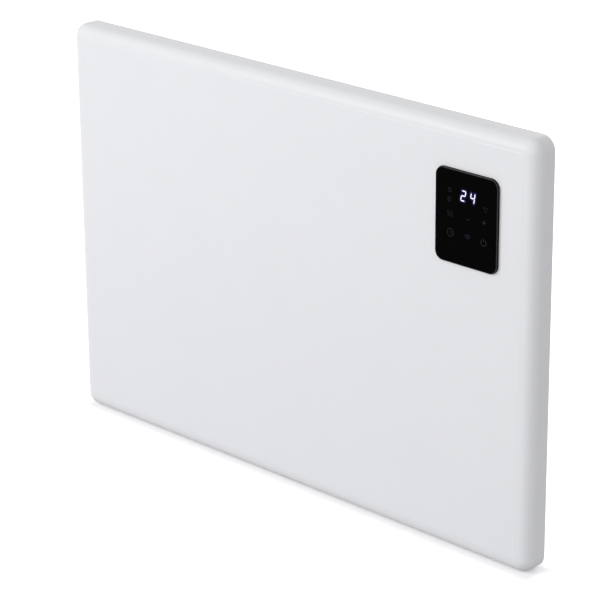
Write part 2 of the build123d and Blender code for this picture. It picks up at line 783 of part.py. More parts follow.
with BuildPart() as switch_body:
    with BuildSketch(sideways(switch_front, box_mid_out, switch_z)):
        RectangleRounded(switch_wide + 2 * switch_flange, switch_len + 2 * switch_flange, switch_flange)
    extrude(amount=switch_flange_t)
    fillet(switch_body.faces().sort_by(Axis.X)[-1].edges(), small_round)
    with BuildSketch(sideways(box_w / 2, box_mid_out, switch_z)):
        Rectangle(switch_wide, switch_len)
    extrude(amount=switch_deep)
    with BuildSketch(sideways(switch_front, box_mid_out, switch_z)):
        Rectangle(well_w, well_len)
    extrude(amount=well_deep, mode=Mode.SUBTRACT)
    with BuildSketch(facing(box_mid_out - switch_wide / 2, pivot_x, switch_z)):
        Circle(rocker_pin_r + pivot_play)
    extrude(amount=switch_wide, mode=Mode.SUBTRACT)
switch_body.part.label = "switch_body"
export_step(switch_body.part, "parts/switch_body.step")

rocker_plane = Plane(
    origin=(pivot_x, -(box_mid_out - rocker_w / 2), switch_z),
    x_dir=(cos(rocker_t), 0, sin(rocker_t)),
    z_dir=(0, -1, 0),
)
with BuildPart() as switch_rocker:
    with BuildSketch(rocker_plane):
        with BuildLine():
            Polyline(
                (rocker_reach, rocker_half),
                (rocker_reach - rocker_dip, 0),
                (rocker_reach, -rocker_half),
                (-rocker_flank, -rocker_half),
                (-rocker_keel, -rocker_keel_half),
                (-rocker_keel, rocker_keel_half),
                (-rocker_flank, rocker_half),
                close=True,
            )
        make_face()
    extrude(amount=rocker_w)
    with BuildSketch(facing(box_mid_out - switch_wide / 2 + slip, pivot_x, switch_z)):
        Circle(rocker_pin_r)
    extrude(amount=switch_wide - 2 * slip)
switch_rocker.part.label = "switch_rocker"
export_step(switch_rocker.part, "parts/switch_rocker.step")

with BuildPart() as switch_terminals:
    with BuildSketch(sideways(box_w / 2 - switch_deep, box_mid_out, switch_z)):
        with GridLocations(0, 2 * spade_z, 1, 2):
            Rectangle(spade_w, spade_t)
    extrude(amount=spade_len)
switch_terminals.part.label = "switch_terminals"
export_step(switch_terminals.part, "parts/switch_terminals.step")

# Inlet gland in the bottom wall
with BuildPart() as cable_gland:
    with BuildSketch(level(box_floor - gland_flange_h, gland_x, box_mid_out)):
        RegularPolygon(gland_flange_r, 6)
    extrude(amount=gland_flange_h)
    chamfer(cable_gland.faces().sort_by(Axis.Z)[0].edges(), small_round)
    with BuildSketch(level(box_floor, gland_x, box_mid_out)):
        Circle(gland_thread_r)
    extrude(amount=gland_inside)
    with BuildSketch(level(box_floor - gland_flange_h, gland_x, box_mid_out)):
        Circle(gland_bore_r)
    extrude(amount=gland_flange_h + gland_inside, mode=Mode.SUBTRACT)
cable_gland.part.label = "cable_gland"
export_step(cable_gland.part, "parts/cable_gland.step")

with BuildPart() as gland_nut:
    with BuildSketch(level(box_floor + box_sheet, gland_x, box_mid_out)):
        RegularPolygon(gland_nut_r, 6)
        Circle(gland_thread_r + hole_play, mode=Mode.SUBTRACT)
    extrude(amount=gland_nut_h)
gland_nut.part.label = "gland_nut"
export_step(gland_nut.part, "parts/gland_nut.step")

# Air duct: one folded sheet that makes a chimney round the element and shields panel and electronics
out_rod = in_box + element_out
grommet_hole_r = grommet_r + hole_play
with BuildPart() as air_duct:
    with BuildSketch(level(-duct_h / 2)):
        with Locations(((duct_left + duct_right) / 2, -duct_front + duct_sheet / 2)):
            Rectangle(duct_right - duct_left, duct_sheet)
        for wall_x in (duct_left + duct_sheet / 2, duct_right - duct_sheet / 2):
            with Locations((wall_x, -(in_box + duct_front) / 2)):
                Rectangle(duct_sheet, duct_front - in_box)
    extrude(amount=duct_h)
    with BuildSketch(facing(in_box)):
        with Locations(*duct_tab_spots):
            Rectangle(duct_tab_len, duct_tab_w)
    extrude(amount=duct_sheet)
    with BuildSketch(facing(in_box)):
        with Locations(*duct_tab_spots):
            Circle(screw_r + hole_play)
    extrude(amount=duct_sheet, mode=Mode.SUBTRACT)
    with BuildSketch(sideways(duct_right, out_rod, grommet_z)):
        Circle(grommet_hole_r)
    extrude(amount=duct_sheet, mode=Mode.SUBTRACT)
air_duct.part.label = "air_duct"
export_step(air_duct.part, "parts/air_duct.step")

with BuildPart() as duct_grommet:
    with BuildSketch(sideways(duct_right + grommet_lip, out_rod, grommet_z)):
        Circle(grommet_lip_r)
    extrude(amount=2 * grommet_lip + duct_sheet)
    with BuildSketch(sideways(duct_right, out_rod, grommet_z)):
        Circle(grommet_lip_r)
        Circle(grommet_r, mode=Mode.SUBTRACT)
    extrude(amount=duct_sheet, mode=Mode.SUBTRACT)
    with BuildSketch(sideways(duct_right + grommet_lip, out_rod, grommet_z)):
        Circle(grommet_bore_r)
    extrude(amount=2 * grommet_lip + duct_sheet, mode=Mode.SUBTRACT)
duct_grommet.part.label = "duct_grommet"
export_step(duct_grommet.part, "parts/duct_grommet.step")

# Heating element: a sheathed rod crimped in a cross of louvred aluminium fins, carried in two ceramic bushes
fin_left = holder_xs[0] + holder_sheet / 2 + bush_lip_t + slip
fin_right = holder_xs[1] - holder_sheet / 2 - bush_lip_t - slip
fin_slant = atan2(fin_half_z, fin_half_y)
fin_slots = int((fin_right - fin_left) / fin_slot_pitch) - 1
with BuildPart() as element_fins:
    with BuildSketch(sideways(fin_right, out_rod, element_z)):
        Circle(fin_core_r)
        for slant in (fin_slant, -fin_slant):
            Rectangle(2 * hypot(fin_half_y, fin_half_z), fin_t, rotation=degrees(slant))
        Circle(rod_r + hole_play, mode=Mode.SUBTRACT)
    extrude(amount=fin_right - fin_left)
    with BuildSketch(facing(out_rod - fin_half_y - fin_t, (fin_left + fin_right) / 2, element_z)):
        with GridLocations(fin_slot_pitch, fin_core_r + fin_half_z, fin_slots, 2):
            SlotOverall(fin_slot_len, fin_slot_w, rotation=90)
    extrude(amount=2 * (fin_half_y + fin_t), mode=Mode.SUBTRACT)
element_fins.part.label = "element_fins"
export_step(element_fins.part, "parts/element_fins.step")

rod_ends = (holder_xs[0] - rod_overhang, holder_xs[1] + rod_overhang)
with BuildPart() as element_rod:
    with BuildSketch(sideways(rod_ends[1], out_rod, element_z)):
        Circle(rod_r)
    extrude(amount=rod_ends[1] - rod_ends[0])
    chamfer(element_rod.faces().filter_by(Axis.X).edges(), small_round)
element_rod.part.label = "element_rod"
export_step(element_rod.part, "parts/element_rod.step")

with BuildPart() as element_insulators:
    for x, inward in zip(holder_xs, (1, -1)):
        inner_face = x + inward * holder_sheet / 2
        with BuildSketch(sideways(inner_face, out_rod, element_z)):
            Circle(bush_lip_r)
        extrude(amount=-inward * bush_lip_t)
        with BuildSketch(sideways(inner_face, out_rod, element_z)):
            Circle(bush_r)
        extrude(amount=inward * bush_len)
    with BuildSketch(sideways(rod_ends[1], out_rod, element_z)):
        Circle(rod_r + hole_play)
    extrude(amount=rod_ends[1] - rod_ends[0], mode=Mode.SUBTRACT)
element_insulators.part.label = "element_insulators"
export_step(element_insulators.part, "parts/element_insulators.step")

for name, x, foot in zip(("element_bracket_left", "element_bracket_right"), holder_xs, holder_feet):
    with BuildPart() as holder:
        with BuildSketch(sideways(x + holder_sheet / 2, in_box, element_z)):
            with Locations(((element_out + holder_reach) / 2, 0)):
                RectangleRounded(element_out + holder_reach, holder_w, holder_corner)
            with Locations((element_out, 0)):
                Circle(bush_r + hole_play, mode=Mode.SUBTRACT)
        extrude(amount=holder_sheet)
        with BuildSketch(facing(in_box, *foot)):
            Rectangle(holder_foot, holder_w - 2 * holder_corner)
            with GridLocations(0, holder_w / 2, 1, 2):
                Circle(screw_r + hole_play, mode=Mode.SUBTRACT)
        extrude(amount=holder_sheet)
    holder.part.label = name
    export_step(holder.part, f"parts/{name}.step")

# Threaded ends of the element, each with a ring tongue whose barrel takes the lead from below
barrel_top = element_z - stud_r - ring_w
barrel_end = barrel_top - barrel_len
ring_xs = (rod_ends[0] - stud_len / 2, rod_ends[1] + stud_len / 2)
with BuildPart() as element_terminals:
    for rod_end, ring_x, outward in zip(rod_ends, ring_xs, (-1, 1)):
        with BuildSketch(sideways(rod_end, out_rod, element_z)):
            Circle(stud_r)
        extrude(amount=-outward * stud_len)
        with BuildSketch(sideways(ring_x + ring_t / 2, out_rod, element_z)):
            Circle(stud_r + ring_w)
            with Locations((0, -(stud_r + ring_w) / 2)):
                Rectangle(2 * barrel_r, stud_r + ring_w)
        extrude(amount=ring_t)
        with BuildSketch(level(barrel_end, ring_x, out_rod)):
            Circle(barrel_r)
        extrude(amount=barrel_len + ring_w / 2)
element_terminals.part.label = "element_terminals"
export_step(element_terminals.part, "parts/element_terminals.step")

# Overheat protection on the outside of the duct's right wall, above the element
with BuildPart() as thermal_cutout:
    with BuildSketch(sideways(duct_right, out_rod, cutout_z)):
        Circle(cutout_r)
    extrude(amount=-cutout_h)
    fillet(thermal_cutout.faces().sort_by(Axis.X)[-1].edges(), 2 * small_round)
    with BuildSketch(sideways(duct_right + cutout_h, out_rod, cutout_z)):
        with GridLocations(cutout_r, 0, 2, 1):
            Rectangle(spade_t, lug_w)
    extrude(amount=-lug_len)
thermal_cutout.part.label = "thermal_cutout"
export_step(thermal_cutout.part, "parts/thermal_cutout.step")

fuse_x = duct_right + fuse_strap_t + fuse_r
with BuildPart() as thermal_fuse:
    with BuildSketch(level(fuse_z, fuse_x, out_rod)):
        Circle(fuse_r)
    extrude(amount=fuse_len)
    chamfer(thermal_fuse.faces().filter_by(Axis.Z).edges(), small_round)
thermal_fuse.part.label = "thermal_fuse"
export_step(thermal_fuse.part, "parts/thermal_fuse.step")

with BuildPart() as fuse_clip:
    with BuildSketch(level(fuse_z + (fuse_len - fuse_strap_w) / 2, fuse_x, out_rod)):
        Circle(fuse_r + fuse_strap_t)
        with Locations((-fuse_r - fuse_strap_t / 2, 0)):
            Rectangle(fuse_strap_t, 4 * fuse_r + 2 * fuse_strap_t)
        Circle(fuse_r, mode=Mode.SUBTRACT)
    extrude(amount=fuse_strap_w)
fuse_clip.part.label = "fuse_clip"
export_step(fuse_clip.part, "parts/fuse_clip.step")

# Electronics tray and power board
out_power = in_box + tray_base + standoff_h
out_parts = out_power + power_t
power_w = tray_w - 2 * power_inset
power_h = tray_h - 2 * power_inset
header_blocks = (     # x, z, width, height and rise of each header, from the middle of the board
    (0.0, 10.0 - power_h / 2, 37.0, 10.0, 11.0),
    (-7.0, power_h / 2 - 12.0, 20.0, 8.0, 9.0),
    (13.0, power_h / 2 - 16.0, 12.0, 6.0, 8.0),
    (power_w / 2 - 5.0, 0.0, 6.0, 8.0, 6.0),
)
corner_x = tray_w / 2 - standoff_inset
corner_z = tray_h / 2 - standoff_inset
standoffs = [(x, z) for x in (-corner_x, corner_x) for z in (-corner_z, corner_z)]
with BuildPart() as board_tray:
    with BuildSketch(facing(in_box, tray_x, tray_z)):
        RectangleRounded(tray_w, tray_h, tray_corner)
    extrude(amount=tray_base + tray_rim)
    with BuildSketch(facing(in_box + tray_base, tray_x, tray_z)):
        RectangleRounded(tray_w - 2 * tray_wall, tray_h - 2 * tray_wall, tray_corner - tray_wall)
    extrude(amount=tray_rim, mode=Mode.SUBTRACT)
    with BuildSketch(facing(in_box + tray_base, tray_x, tray_z)):
        with Locations(*standoffs):
            Circle(standoff_r)
    extrude(amount=standoff_h)
    with BuildSketch(facing(in_box, tray_x, tray_z)):
        with GridLocations(0, tray_h / 2, 1, 2):
            Circle(standoff_r)
    extrude(amount=screw_len)
    with BuildSketch(facing(in_box, tray_x, tray_z)):
        with GridLocations(0, tray_h / 2, 1, 2):
            Circle(screw_r + hole_play)
    extrude(amount=screw_len, mode=Mode.SUBTRACT)
    with BuildSketch(facing(in_box + tray_base, tray_x, tray_z)):
        with Locations(*standoffs):
            Circle(screw_r + hole_play)
    extrude(amount=standoff_h, mode=Mode.SUBTRACT)
board_tray.part.label = "board_tray"
export_step(board_tray.part, "parts/board_tray.step")

with BuildPart() as power_board:
    with BuildSketch(facing(out_power, tray_x, tray_z)):
        Rectangle(power_w, power_h)
        with Locations(*standoffs):
            Circle(screw_r + hole_play, mode=Mode.SUBTRACT)
    extrude(amount=power_t)
power_board.part.label = "power_board"
export_step(power_board.part, "parts/power_board.step")

pan_screws("board_screws", out_parts, [(tray_x + x, tray_z + z) for x, z in standoffs], screw_len, side=-1)

with BuildPart() as power_relays:
    with BuildSketch(facing(out_parts, tray_x, tray_z + relay_z)):
        with GridLocations(relay_pitch, 0, 2, 1):
            Rectangle(relay_w, relay_h)
    extrude(amount=relay_rise)
    fillet(power_relays.edges().filter_by(Axis.Y), case_corner)
power_relays.part.label = "power_relays"
export_step(power_relays.part, "parts/power_relays.step")

with BuildPart() as supply_transformer:
    with BuildSketch(facing(out_parts, tray_x, tray_z + coil_z)):
        Rectangle(core_w, core_h)
        Rectangle(coil_w, core_h + coil_h)
    extrude(amount=core_rise)
    with BuildSketch(facing(out_parts + core_rise, tray_x, tray_z + coil_z)):
        RectangleRounded(coil_w, core_h, 2 * case_corner)
    extrude(amount=coil_rise)
supply_transformer.part.label = "supply_transformer"
export_step(supply_transformer.part, "parts/supply_transformer.step")

with BuildPart() as filter_capacitor:
    with BuildSketch(facing(out_parts, tray_x + capacitor_x, tray_z + input_z)):
        RectangleRounded(capacitor_w, capacitor_h, case_corner)
    extrude(amount=capacitor_rise)
filter_capacitor.part.label = "filter_capacitor"
export_step(filter_capacitor.part, "parts/filter_capacitor.step")

fuse_end_x = tray_x - capacitor_x + glass_fuse_len / 2
with BuildPart() as board_fuse:
    with BuildSketch(facing(out_parts, tray_x - capacitor_x, tray_z + input_z)):
        Rectangle(glass_fuse_len, 2 * glass_fuse_r)
    extrude(amount=glass_fuse_r)
    with BuildSketch(sideways(fuse_end_x, out_parts + glass_fuse_r, tray_z + input_z)):
        Circle(glass_fuse_r)
    extrude(amount=glass_fuse_len)
board_fuse.part.label = "board_fuse"
export_step(board_fuse.part, "parts/board_fuse.step")

with BuildPart() as board_headers:
    for x, z, wide, tall, rise in header_blocks:
        with BuildSketch(facing(out_parts, tray_x + x, tray_z + z)):
            Rectangle(wide, tall)
        extrude(amount=rise)
board_headers.part.label = "board_headers"
export_step(board_headers.part, "parts/board_headers.step")

# Mains terminal block and room sensor
pole_xs = [block_x + pole_pitch * i for i in (-1, 0, 1)]
out_pole = in_box + pole_out
with BuildPart() as terminal_block:
    with BuildSketch(facing(in_box, block_x, block_mid_z)):
        RectangleRounded(block_w, block_h, case_corner)
    extrude(amount=block_deep)
    with BuildSketch(facing(in_box, block_x, block_mid_z)):
        Circle(screw_r + hole_play)
    extrude(amount=screw_len, mode=Mode.SUBTRACT)
    with BuildSketch(level(block_mid_z - block_h / 2)):
        with Locations(*[(x, -out_pole) for x in pole_xs]):
            Circle(lead_r + slip)
    extrude(amount=block_h, mode=Mode.SUBTRACT)
    with BuildSketch(facing(in_box + block_deep - pole_screw_h, 0, block_mid_z)):
        with Locations(*[(x, 0) for x in pole_xs]):
            Circle(pole_screw_r + hole_play)
    extrude(amount=pole_screw_h, mode=Mode.SUBTRACT)
terminal_block.part.label = "terminal_block"
export_step(terminal_block.part, "parts/terminal_block.step")

with BuildPart() as terminal_screws:
    with BuildSketch(facing(in_box + block_deep - pole_screw_h, 0, block_mid_z)):
        with Locations(*[(x, 0) for x in pole_xs]):
            Circle(pole_screw_r)
    extrude(amount=pole_screw_h - slip)
    with BuildSketch(facing(in_box + block_deep - slip - recess_w, 0, block_mid_z)):
        with Locations(*[(x, 0) for x in pole_xs]):
            Rectangle(2 * pole_screw_r, pole_slot_w)
    extrude(amount=recess_w, mode=Mode.SUBTRACT)
terminal_screws.part.label = "terminal_screws"
export_step(terminal_screws.part, "parts/terminal_screws.step")

out_sensor = out_rod + sensor_forward
with BuildPart() as sensor_clip:
    with BuildSketch(level(box_floor + box_sheet, sensor_x, out_sensor)):
        RectangleRounded(sensor_clip_w, sensor_clip_w, 2 * case_corner)
    extrude(amount=sensor_clip_h)
    with BuildSketch(level(box_floor, sensor_x, out_sensor)):
        Circle(sensor_r + sensor_clip_wall)
    extrude(amount=sensor_clip_h)
    with BuildSketch(level(box_floor, sensor_x, out_sensor)):
        Circle(sensor_r + hole_play)
    extrude(amount=box_sheet + sensor_clip_h, mode=Mode.SUBTRACT)
sensor_clip.part.label = "sensor_clip"
export_step(sensor_clip.part, "parts/sensor_clip.step")

with BuildPart() as room_sensor:
    with BuildSketch(level(box_floor - sensor_drop, sensor_x, out_sensor)):
        Circle(sensor_r)
    extrude(amount=sensor_len)
    fillet(room_sensor.faces().sort_by(Axis.Z)[0].edges(), sensor_tip)
room_sensor.part.label = "room_sensor"
export_step(room_sensor.part, "parts/room_sensor.step")


# Inner wiring: each lead is one tube that starts and ends square on what it joins
def lead(points, radius, bend):
    """A round lead through points given as (x, out, z), with its corners rounded by bend."""
    with BuildPart() as tube:
        with BuildLine() as route:
            FilletPolyline(*[(x, -out, z) for x, out, z in points], radius=bend)
        with BuildSketch(Plane(origin=route.line @ 0, z_dir=route.line % 0)):
            Circle(radius)
        sweep()
    return tube.part


block_top = block_mid_z + block_h / 2
main_header, safety_header, cable_header, sensor_header = header_blocks
header_foot = tray_z + main_header[1] - main_header[3] / 2
out_header = out_parts + main_header[4] / 2
header_xs = [tray_x + header_pitch * (i - 1.5) for i in range(4)]
spade_tip = box_w / 2 - switch_deep - spade_len
lower_spade = switch_z - spade_z
upper_spade = switch_z + spade_z
with BuildPart() as mains_leads:
    add(lead([
        (pole_xs[2], out_pole, block_top),
        (pole_xs[2], out_pole, block_top + lead_start),
        (spade_tip - lead_start, box_mid_out, lower_spade),
        (spade_tip, box_mid_out, lower_spade),
    ], lead_r, lead_bend))
    add(lead([
        (pole_xs[1], out_pole, block_top),
        (pole_xs[1], out_pole, block_top + lead_start),
        (header_xs[2], out_pole, block_top + 2 * lead_start),
        (header_xs[2], out_header, header_foot - lead_start),
        (header_xs[2], out_header, header_foot),
    ], lead_r, lead_bend))
    add(lead([
        (spade_tip, box_mid_out, upper_spade),
        (spade_tip - lead_start, box_mid_out, upper_spade),
        (header_xs[3], out_header, header_foot - lead_start),
        (header_xs[3], out_header, header_foot),
    ], lead_r, lead_bend))
mains_leads.part.label = "mains_leads"
export_step(mains_leads.part, "parts/mains_leads.step")

with BuildPart() as element_leads:
    for ring_x, side, header_x in ((ring_xs[1], 1, header_xs[0]), (ring_xs[0], -1, header_xs[1])):
        run_z = grommet_z + side * lead_offset
        add(lead([
            (ring_x, out_rod, barrel_end),
            (ring_x, out_rod, run_z),
            (duct_right + lead_start - side * lead_offset, out_rod, run_z),
            (header_x, out_header, header_foot - 2 * lead_start),
            (header_x, out_header, header_foot),
        ], lead_r, lead_bend))
element_leads.part.label = "element_leads"
export_step(element_leads.part, "parts/element_leads.step")

# Low-voltage and safety leads. The sensor's runs up along the board's right edge.
sensor_top = box_floor - sensor_drop + sensor_len
sensor_run_x = tray_x + power_w / 2 - lead_r
sensor_port = (tray_x + sensor_header[0], out_parts + sensor_header[4], tray_z + sensor_header[1])
with BuildPart() as sensor_lead:
    add(lead([
        (sensor_x, out_sensor, sensor_top),
        (sensor_x, out_sensor, sensor_top + lead_start),
        (sensor_run_x, out_sensor, sensor_top + 3 * lead_start),
        (sensor_run_x, out_sensor, tray_z - tray_h / 4),
        (sensor_port[0], sensor_port[1] + lead_start, sensor_port[2]),
        sensor_port,
    ], lead_r, lead_bend))
sensor_lead.part.label = "sensor_lead"
export_step(sensor_lead.part, "parts/sensor_lead.step")

cable_port = (tray_x + cable_header[0], out_parts + cable_header[4], tray_z + cable_header[1])
out_control_port = out_board_back - control_chips[-1][4]
with BuildPart() as control_lead:
    add(lead([
        cable_port,
        (cable_port[0], cable_port[1] + lead_start, cable_port[2]),
        (glass_x, out_control_port - lead_start, glass_z + cap_port_z),
        (glass_x, out_control_port, glass_z + cap_port_z),
    ], cable_r, lead_bend))
control_lead.part.label = "control_lead"
export_step(control_lead.part, "parts/control_lead.step")

out_safety = out_parts + safety_header[4] / 2
safety_top = tray_z + safety_header[1] + safety_header[3] / 2
with BuildPart() as safety_leads:
    for side in (-1, 1):
        safety_x = tray_x + safety_header[0] + side * safety_header[2] / 6
        out_lug = out_rod + side * cutout_r / 2
        add(lead([
            (duct_right + cutout_h + lug_len, out_lug, cutout_z),
            (safety_x, out_lug, cutout_z),
            (safety_x, out_safety, safety_top + lead_start),
            (safety_x, out_safety, safety_top),
        ], lead_r, lead_bend))
safety_leads.part.label = "safety_leads"
export_step(safety_leads.part, "parts/safety_leads.step")
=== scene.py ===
import math

import bpy
from mathutils import Matrix, Vector
from mathutils.bvhtree import BVHTree


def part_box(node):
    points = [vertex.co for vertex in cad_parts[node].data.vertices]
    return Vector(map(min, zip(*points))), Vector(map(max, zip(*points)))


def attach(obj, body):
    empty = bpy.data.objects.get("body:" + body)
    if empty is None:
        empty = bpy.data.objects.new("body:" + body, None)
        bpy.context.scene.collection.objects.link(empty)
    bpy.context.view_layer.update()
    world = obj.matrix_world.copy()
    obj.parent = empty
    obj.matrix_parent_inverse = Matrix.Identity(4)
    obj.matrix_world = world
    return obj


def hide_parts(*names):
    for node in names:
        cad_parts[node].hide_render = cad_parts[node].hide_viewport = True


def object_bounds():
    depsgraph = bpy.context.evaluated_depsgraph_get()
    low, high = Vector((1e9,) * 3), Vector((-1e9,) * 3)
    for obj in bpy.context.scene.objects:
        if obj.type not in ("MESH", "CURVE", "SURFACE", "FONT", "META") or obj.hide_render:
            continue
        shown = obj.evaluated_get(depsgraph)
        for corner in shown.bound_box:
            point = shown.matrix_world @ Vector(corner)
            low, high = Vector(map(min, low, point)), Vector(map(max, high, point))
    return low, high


# A flat electric wall radiator, seen from its right front and from above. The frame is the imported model's,
# in metres: its origin is on the wall behind the middle of the panel, X runs right, -Y into the room, Z up.
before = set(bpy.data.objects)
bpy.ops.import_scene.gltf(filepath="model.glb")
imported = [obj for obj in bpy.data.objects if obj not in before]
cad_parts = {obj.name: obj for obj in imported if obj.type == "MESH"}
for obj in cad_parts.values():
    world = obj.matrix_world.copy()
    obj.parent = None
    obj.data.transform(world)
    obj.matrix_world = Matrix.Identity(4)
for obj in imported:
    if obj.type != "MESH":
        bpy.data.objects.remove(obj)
cad_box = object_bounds()

# Camera: a long lens a few paces off the right front corner, well above the panel and tipped down on it, with
# a hair of roll. Colours show as they are, with no film curve.
lens_mm = 158.7
stand = Vector((1.7442, -1.8413, 0.9063))
yaw = math.radians(44.55)
pitch = math.radians(20.42)
roll = math.radians(-0.46)

camera = bpy.data.objects.new("camera", bpy.data.cameras.new("camera"))
camera.data.lens = lens_mm
camera.data.clip_end = 60.0
turned = Matrix.Rotation(yaw, 4, "Z") @ Matrix.Rotation(math.pi / 2 - pitch, 4, "X")
aim = turned @ Matrix.Rotation(roll, 4, "Z")
camera.matrix_world = Matrix.Translation(stand) @ aim
bpy.context.scene.collection.objects.link(camera)
bpy.context.scene.camera = camera
bpy.context.scene.view_settings.view_transform = "Standard"


# Studio: an even white sky, a large soft key lamp to the left of the camera, a wide fill over its shoulder
# and one behind the object for its back, above a pale floor. Seen directly, floor and sky are white paper.
class Value:
    """A socket of a material, so that shader maths reads as ordinary Python."""

    def __init__(self, tree, socket):
        self.tree = tree
        self.socket = socket

    def maths(self, operation, first, second):
        node = self.tree.nodes.new("ShaderNodeMath")
        node.operation = operation
        feed(self.tree, node.inputs[0], first)
        feed(self.tree, node.inputs[1], second)
        return Value(self.tree, node.outputs[0])

    def __add__(self, other):
        return self.maths("ADD", self, other)

    def __radd__(self, other):
        return self.maths("ADD", other, self)

    def __sub__(self, other):
        return self.maths("SUBTRACT", self, other)

    def __rsub__(self, other):
        return self.maths("SUBTRACT", other, self)

    def __mul__(self, other):
        return self.maths("MULTIPLY", self, other)

    def __rmul__(self, other):
        return self.maths("MULTIPLY", other, self)

    def __pow__(self, other):
        return self.maths("POWER", self, other)

    def size(self):
        """The number without its sign."""
        return self.maths("ABSOLUTE", self, 0.0)

    def at_least(self, other):
        return self.maths("MAXIMUM", self, other)

    def __gt__(self, other):
        return self.maths("GREATER_THAN", self, other)

    def __lt__(self, other):
        return self.maths("LESS_THAN", self, other)


def feed(tree, socket, value):
    """Links a Value to a socket, or writes a plain number or colour on it."""
    if isinstance(value, Value):
        tree.links.new(value.socket, socket)
    elif hasattr(value, "__len__") and len(value) < len(socket.default_value):
        socket.default_value = (*value, 1.0)
    else:
        socket.default_value = value


class Finish:
    """A material in the making: its tree, its shader if it has one, and one way to add any other node."""

    def __init__(self, owner):
        owner.use_nodes = True
        self.owner = owner
        self.tree = owner.node_tree
        self.shader = self.tree.nodes.get("Principled BSDF")

    def node(self, kind, settings=None, sockets=None, out=0):
        """Adds a node, its settings first and then its sockets, and gives one of its outputs."""
        node = self.tree.nodes.new("ShaderNode" + kind)
        for name, value in (settings or {}).items():
            setattr(node, name, value)
        for name, value in (sockets or {}).items():
            feed(self.tree, node.inputs[name], value)
        return Value(self.tree, node.outputs[out])

    def set(self, **sockets):
        """Writes or links sockets of the shader, named with underscores for spaces."""
        for name, value in sockets.items():
            feed(self.tree, self.shader.inputs[name.replace("_", " ")], value)

    def mix(self, share, plain, other):
        """One colour turning into another as share goes from 0 to 1."""
        return self.node("Mix", {"data_type": "RGBA"}, {0: share, 6: plain, 7: other}, out=2)

    def place(self, stretch=(1.0, 1.0, 1.0)):
        """The point on the object, in metres, drawn out along an axis where its stretch is under 1."""
        point = self.node("TexCoord", out="Object")
        return self.node("VectorMath", {"operation": "MULTIPLY"}, {0: point, 1: stretch})

    def coordinate(self, axis, point):
        """How far a point lies along one axis."""
        return self.node("SeparateXYZ", sockets={"Vector": point}, out=axis)

    def noise(self, scale, detail, stretch=(1.0, 1.0, 1.0)):
        """Cloudy numbers from 0 to 1, scale of them to a metre."""
        where = self.place(stretch)
        return self.node("TexNoise", sockets={"Vector": where, "Scale": scale, "Detail": detail})

    def bump(self, height, depth, strength):
        """A surface normal for a relief of the given depth in metres."""
        return self.node("Bump", sockets={"Height": height, "Distance": depth, "Strength": strength})


def seen_as_paper(finish):
    """1 for rays that should meet plain white paper: from the camera, a reflection or through glass."""
    rays = [finish.node("LightPath", out=f"Is {kind} Ray") for kind in ("Camera", "Glossy", "Transmission")]
    return (rays[0] + rays[1] + rays[2]) > 0.5


sky_glow = 0.465
sky = Finish(bpy.data.worlds.new("sky"))
bpy.context.scene.world = sky.owner
sky_light = sky.tree.nodes["Background"]
feed(sky.tree, sky_light.inputs["Color"], (1.0, 1.0, 1.0))
feed(sky.tree, sky_light.inputs["Strength"], sky_glow + (1.0 - sky_glow) * seen_as_paper(sky))

lamps = (     # name, place, width and watts
    ("key_lamp", (-1.25, -2.1, 1.05), 1.1, 24.6),
    ("fill_lamp", (1.7, -2.6, 1.6), 1.8, 28.0),
    ("back_lamp", (-0.6, 2.8, 0.7), 1.8, 42.0),
)
for name, spot, width, watts in lamps:
    lamp = bpy.data.lights.new(name, "AREA")
    lamp.size = width
    lamp.energy = watts
    holder = bpy.data.objects.new(name, lamp)
    holder.location = spot
    holder.rotation_mode = "QUATERNION"
    holder.rotation_quaternion = (-Vector(spot)).to_track_quat("-Z", "Y")
    bpy.context.scene.collection.objects.link(holder)

floor_gap = 0.0006
floor_half = 9.0
floor_z = cad_box[0].z - floor_gap
floor_mesh = bpy.data.meshes.new("floor")
floor_corners = ((-1, -1), (1, -1), (1, 1), (-1, 1))
floor_spots = [(x * floor_half, y * floor_half, floor_z) for x, y in floor_corners]
floor_mesh.from_pydata(floor_spots, [], [(0, 1, 2, 3)])
floor = bpy.data.objects.new("floor", floor_mesh)
bpy.context.scene.collection.objects.link(floor)

# The paper glows enough to show as white all round. Close to the panel it glows less and is paler, so that
# the shadow of the panel's foot shows.
shadow_reach = 0.022
far_paper = (0.60, 0.60, 0.61)
far_glow = 0.98
near_paper = (0.92, 0.92, 0.93)
near_glow = 0.24
paper = Finish(bpy.data.materials.new("paper"))


def glowing_paper(colour, glow):
    """Paper that throws back the light it gets and adds a white glow."""
    return paper.node("AddShader", sockets={
        0: paper.node("BsdfDiffuse", sockets={"Color": colour}),
        1: paper.node("Emission", sockets={"Color": (1.0, 1.0, 1.0), "Strength": glow}),
    })


spot = paper.place()
panel_low, panel_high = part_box("front_shell")
middle = (panel_low.y + panel_high.y) / 2
half_deep = (panel_high.y - panel_low.y) / 2
beside = (paper.coordinate("X", spot).size() - panel_high.x).at_least(0.0)
ahead = ((paper.coordinate("Y", spot) - middle).size() - half_deep).at_least(0.0)
clear = (beside * beside + ahead * ahead) ** 0.5
close = (1.0 - clear * (1.0 / shadow_reach)).at_least(0.0)
shown = paper.node("MixShader", sockets={
    0: close,
    1: glowing_paper(far_paper, far_glow),
    2: glowing_paper(near_paper, near_glow),
})
bounce = paper.node("BsdfDiffuse", sockets={"Color": far_paper})
both = paper.node("MixShader", sockets={0: seen_as_paper(paper), 1: bounce, 2: shown})
feed(paper.tree, paper.tree.nodes["Material Output"].inputs["Surface"], both)
floor_mesh.materials.append(paper.owner)


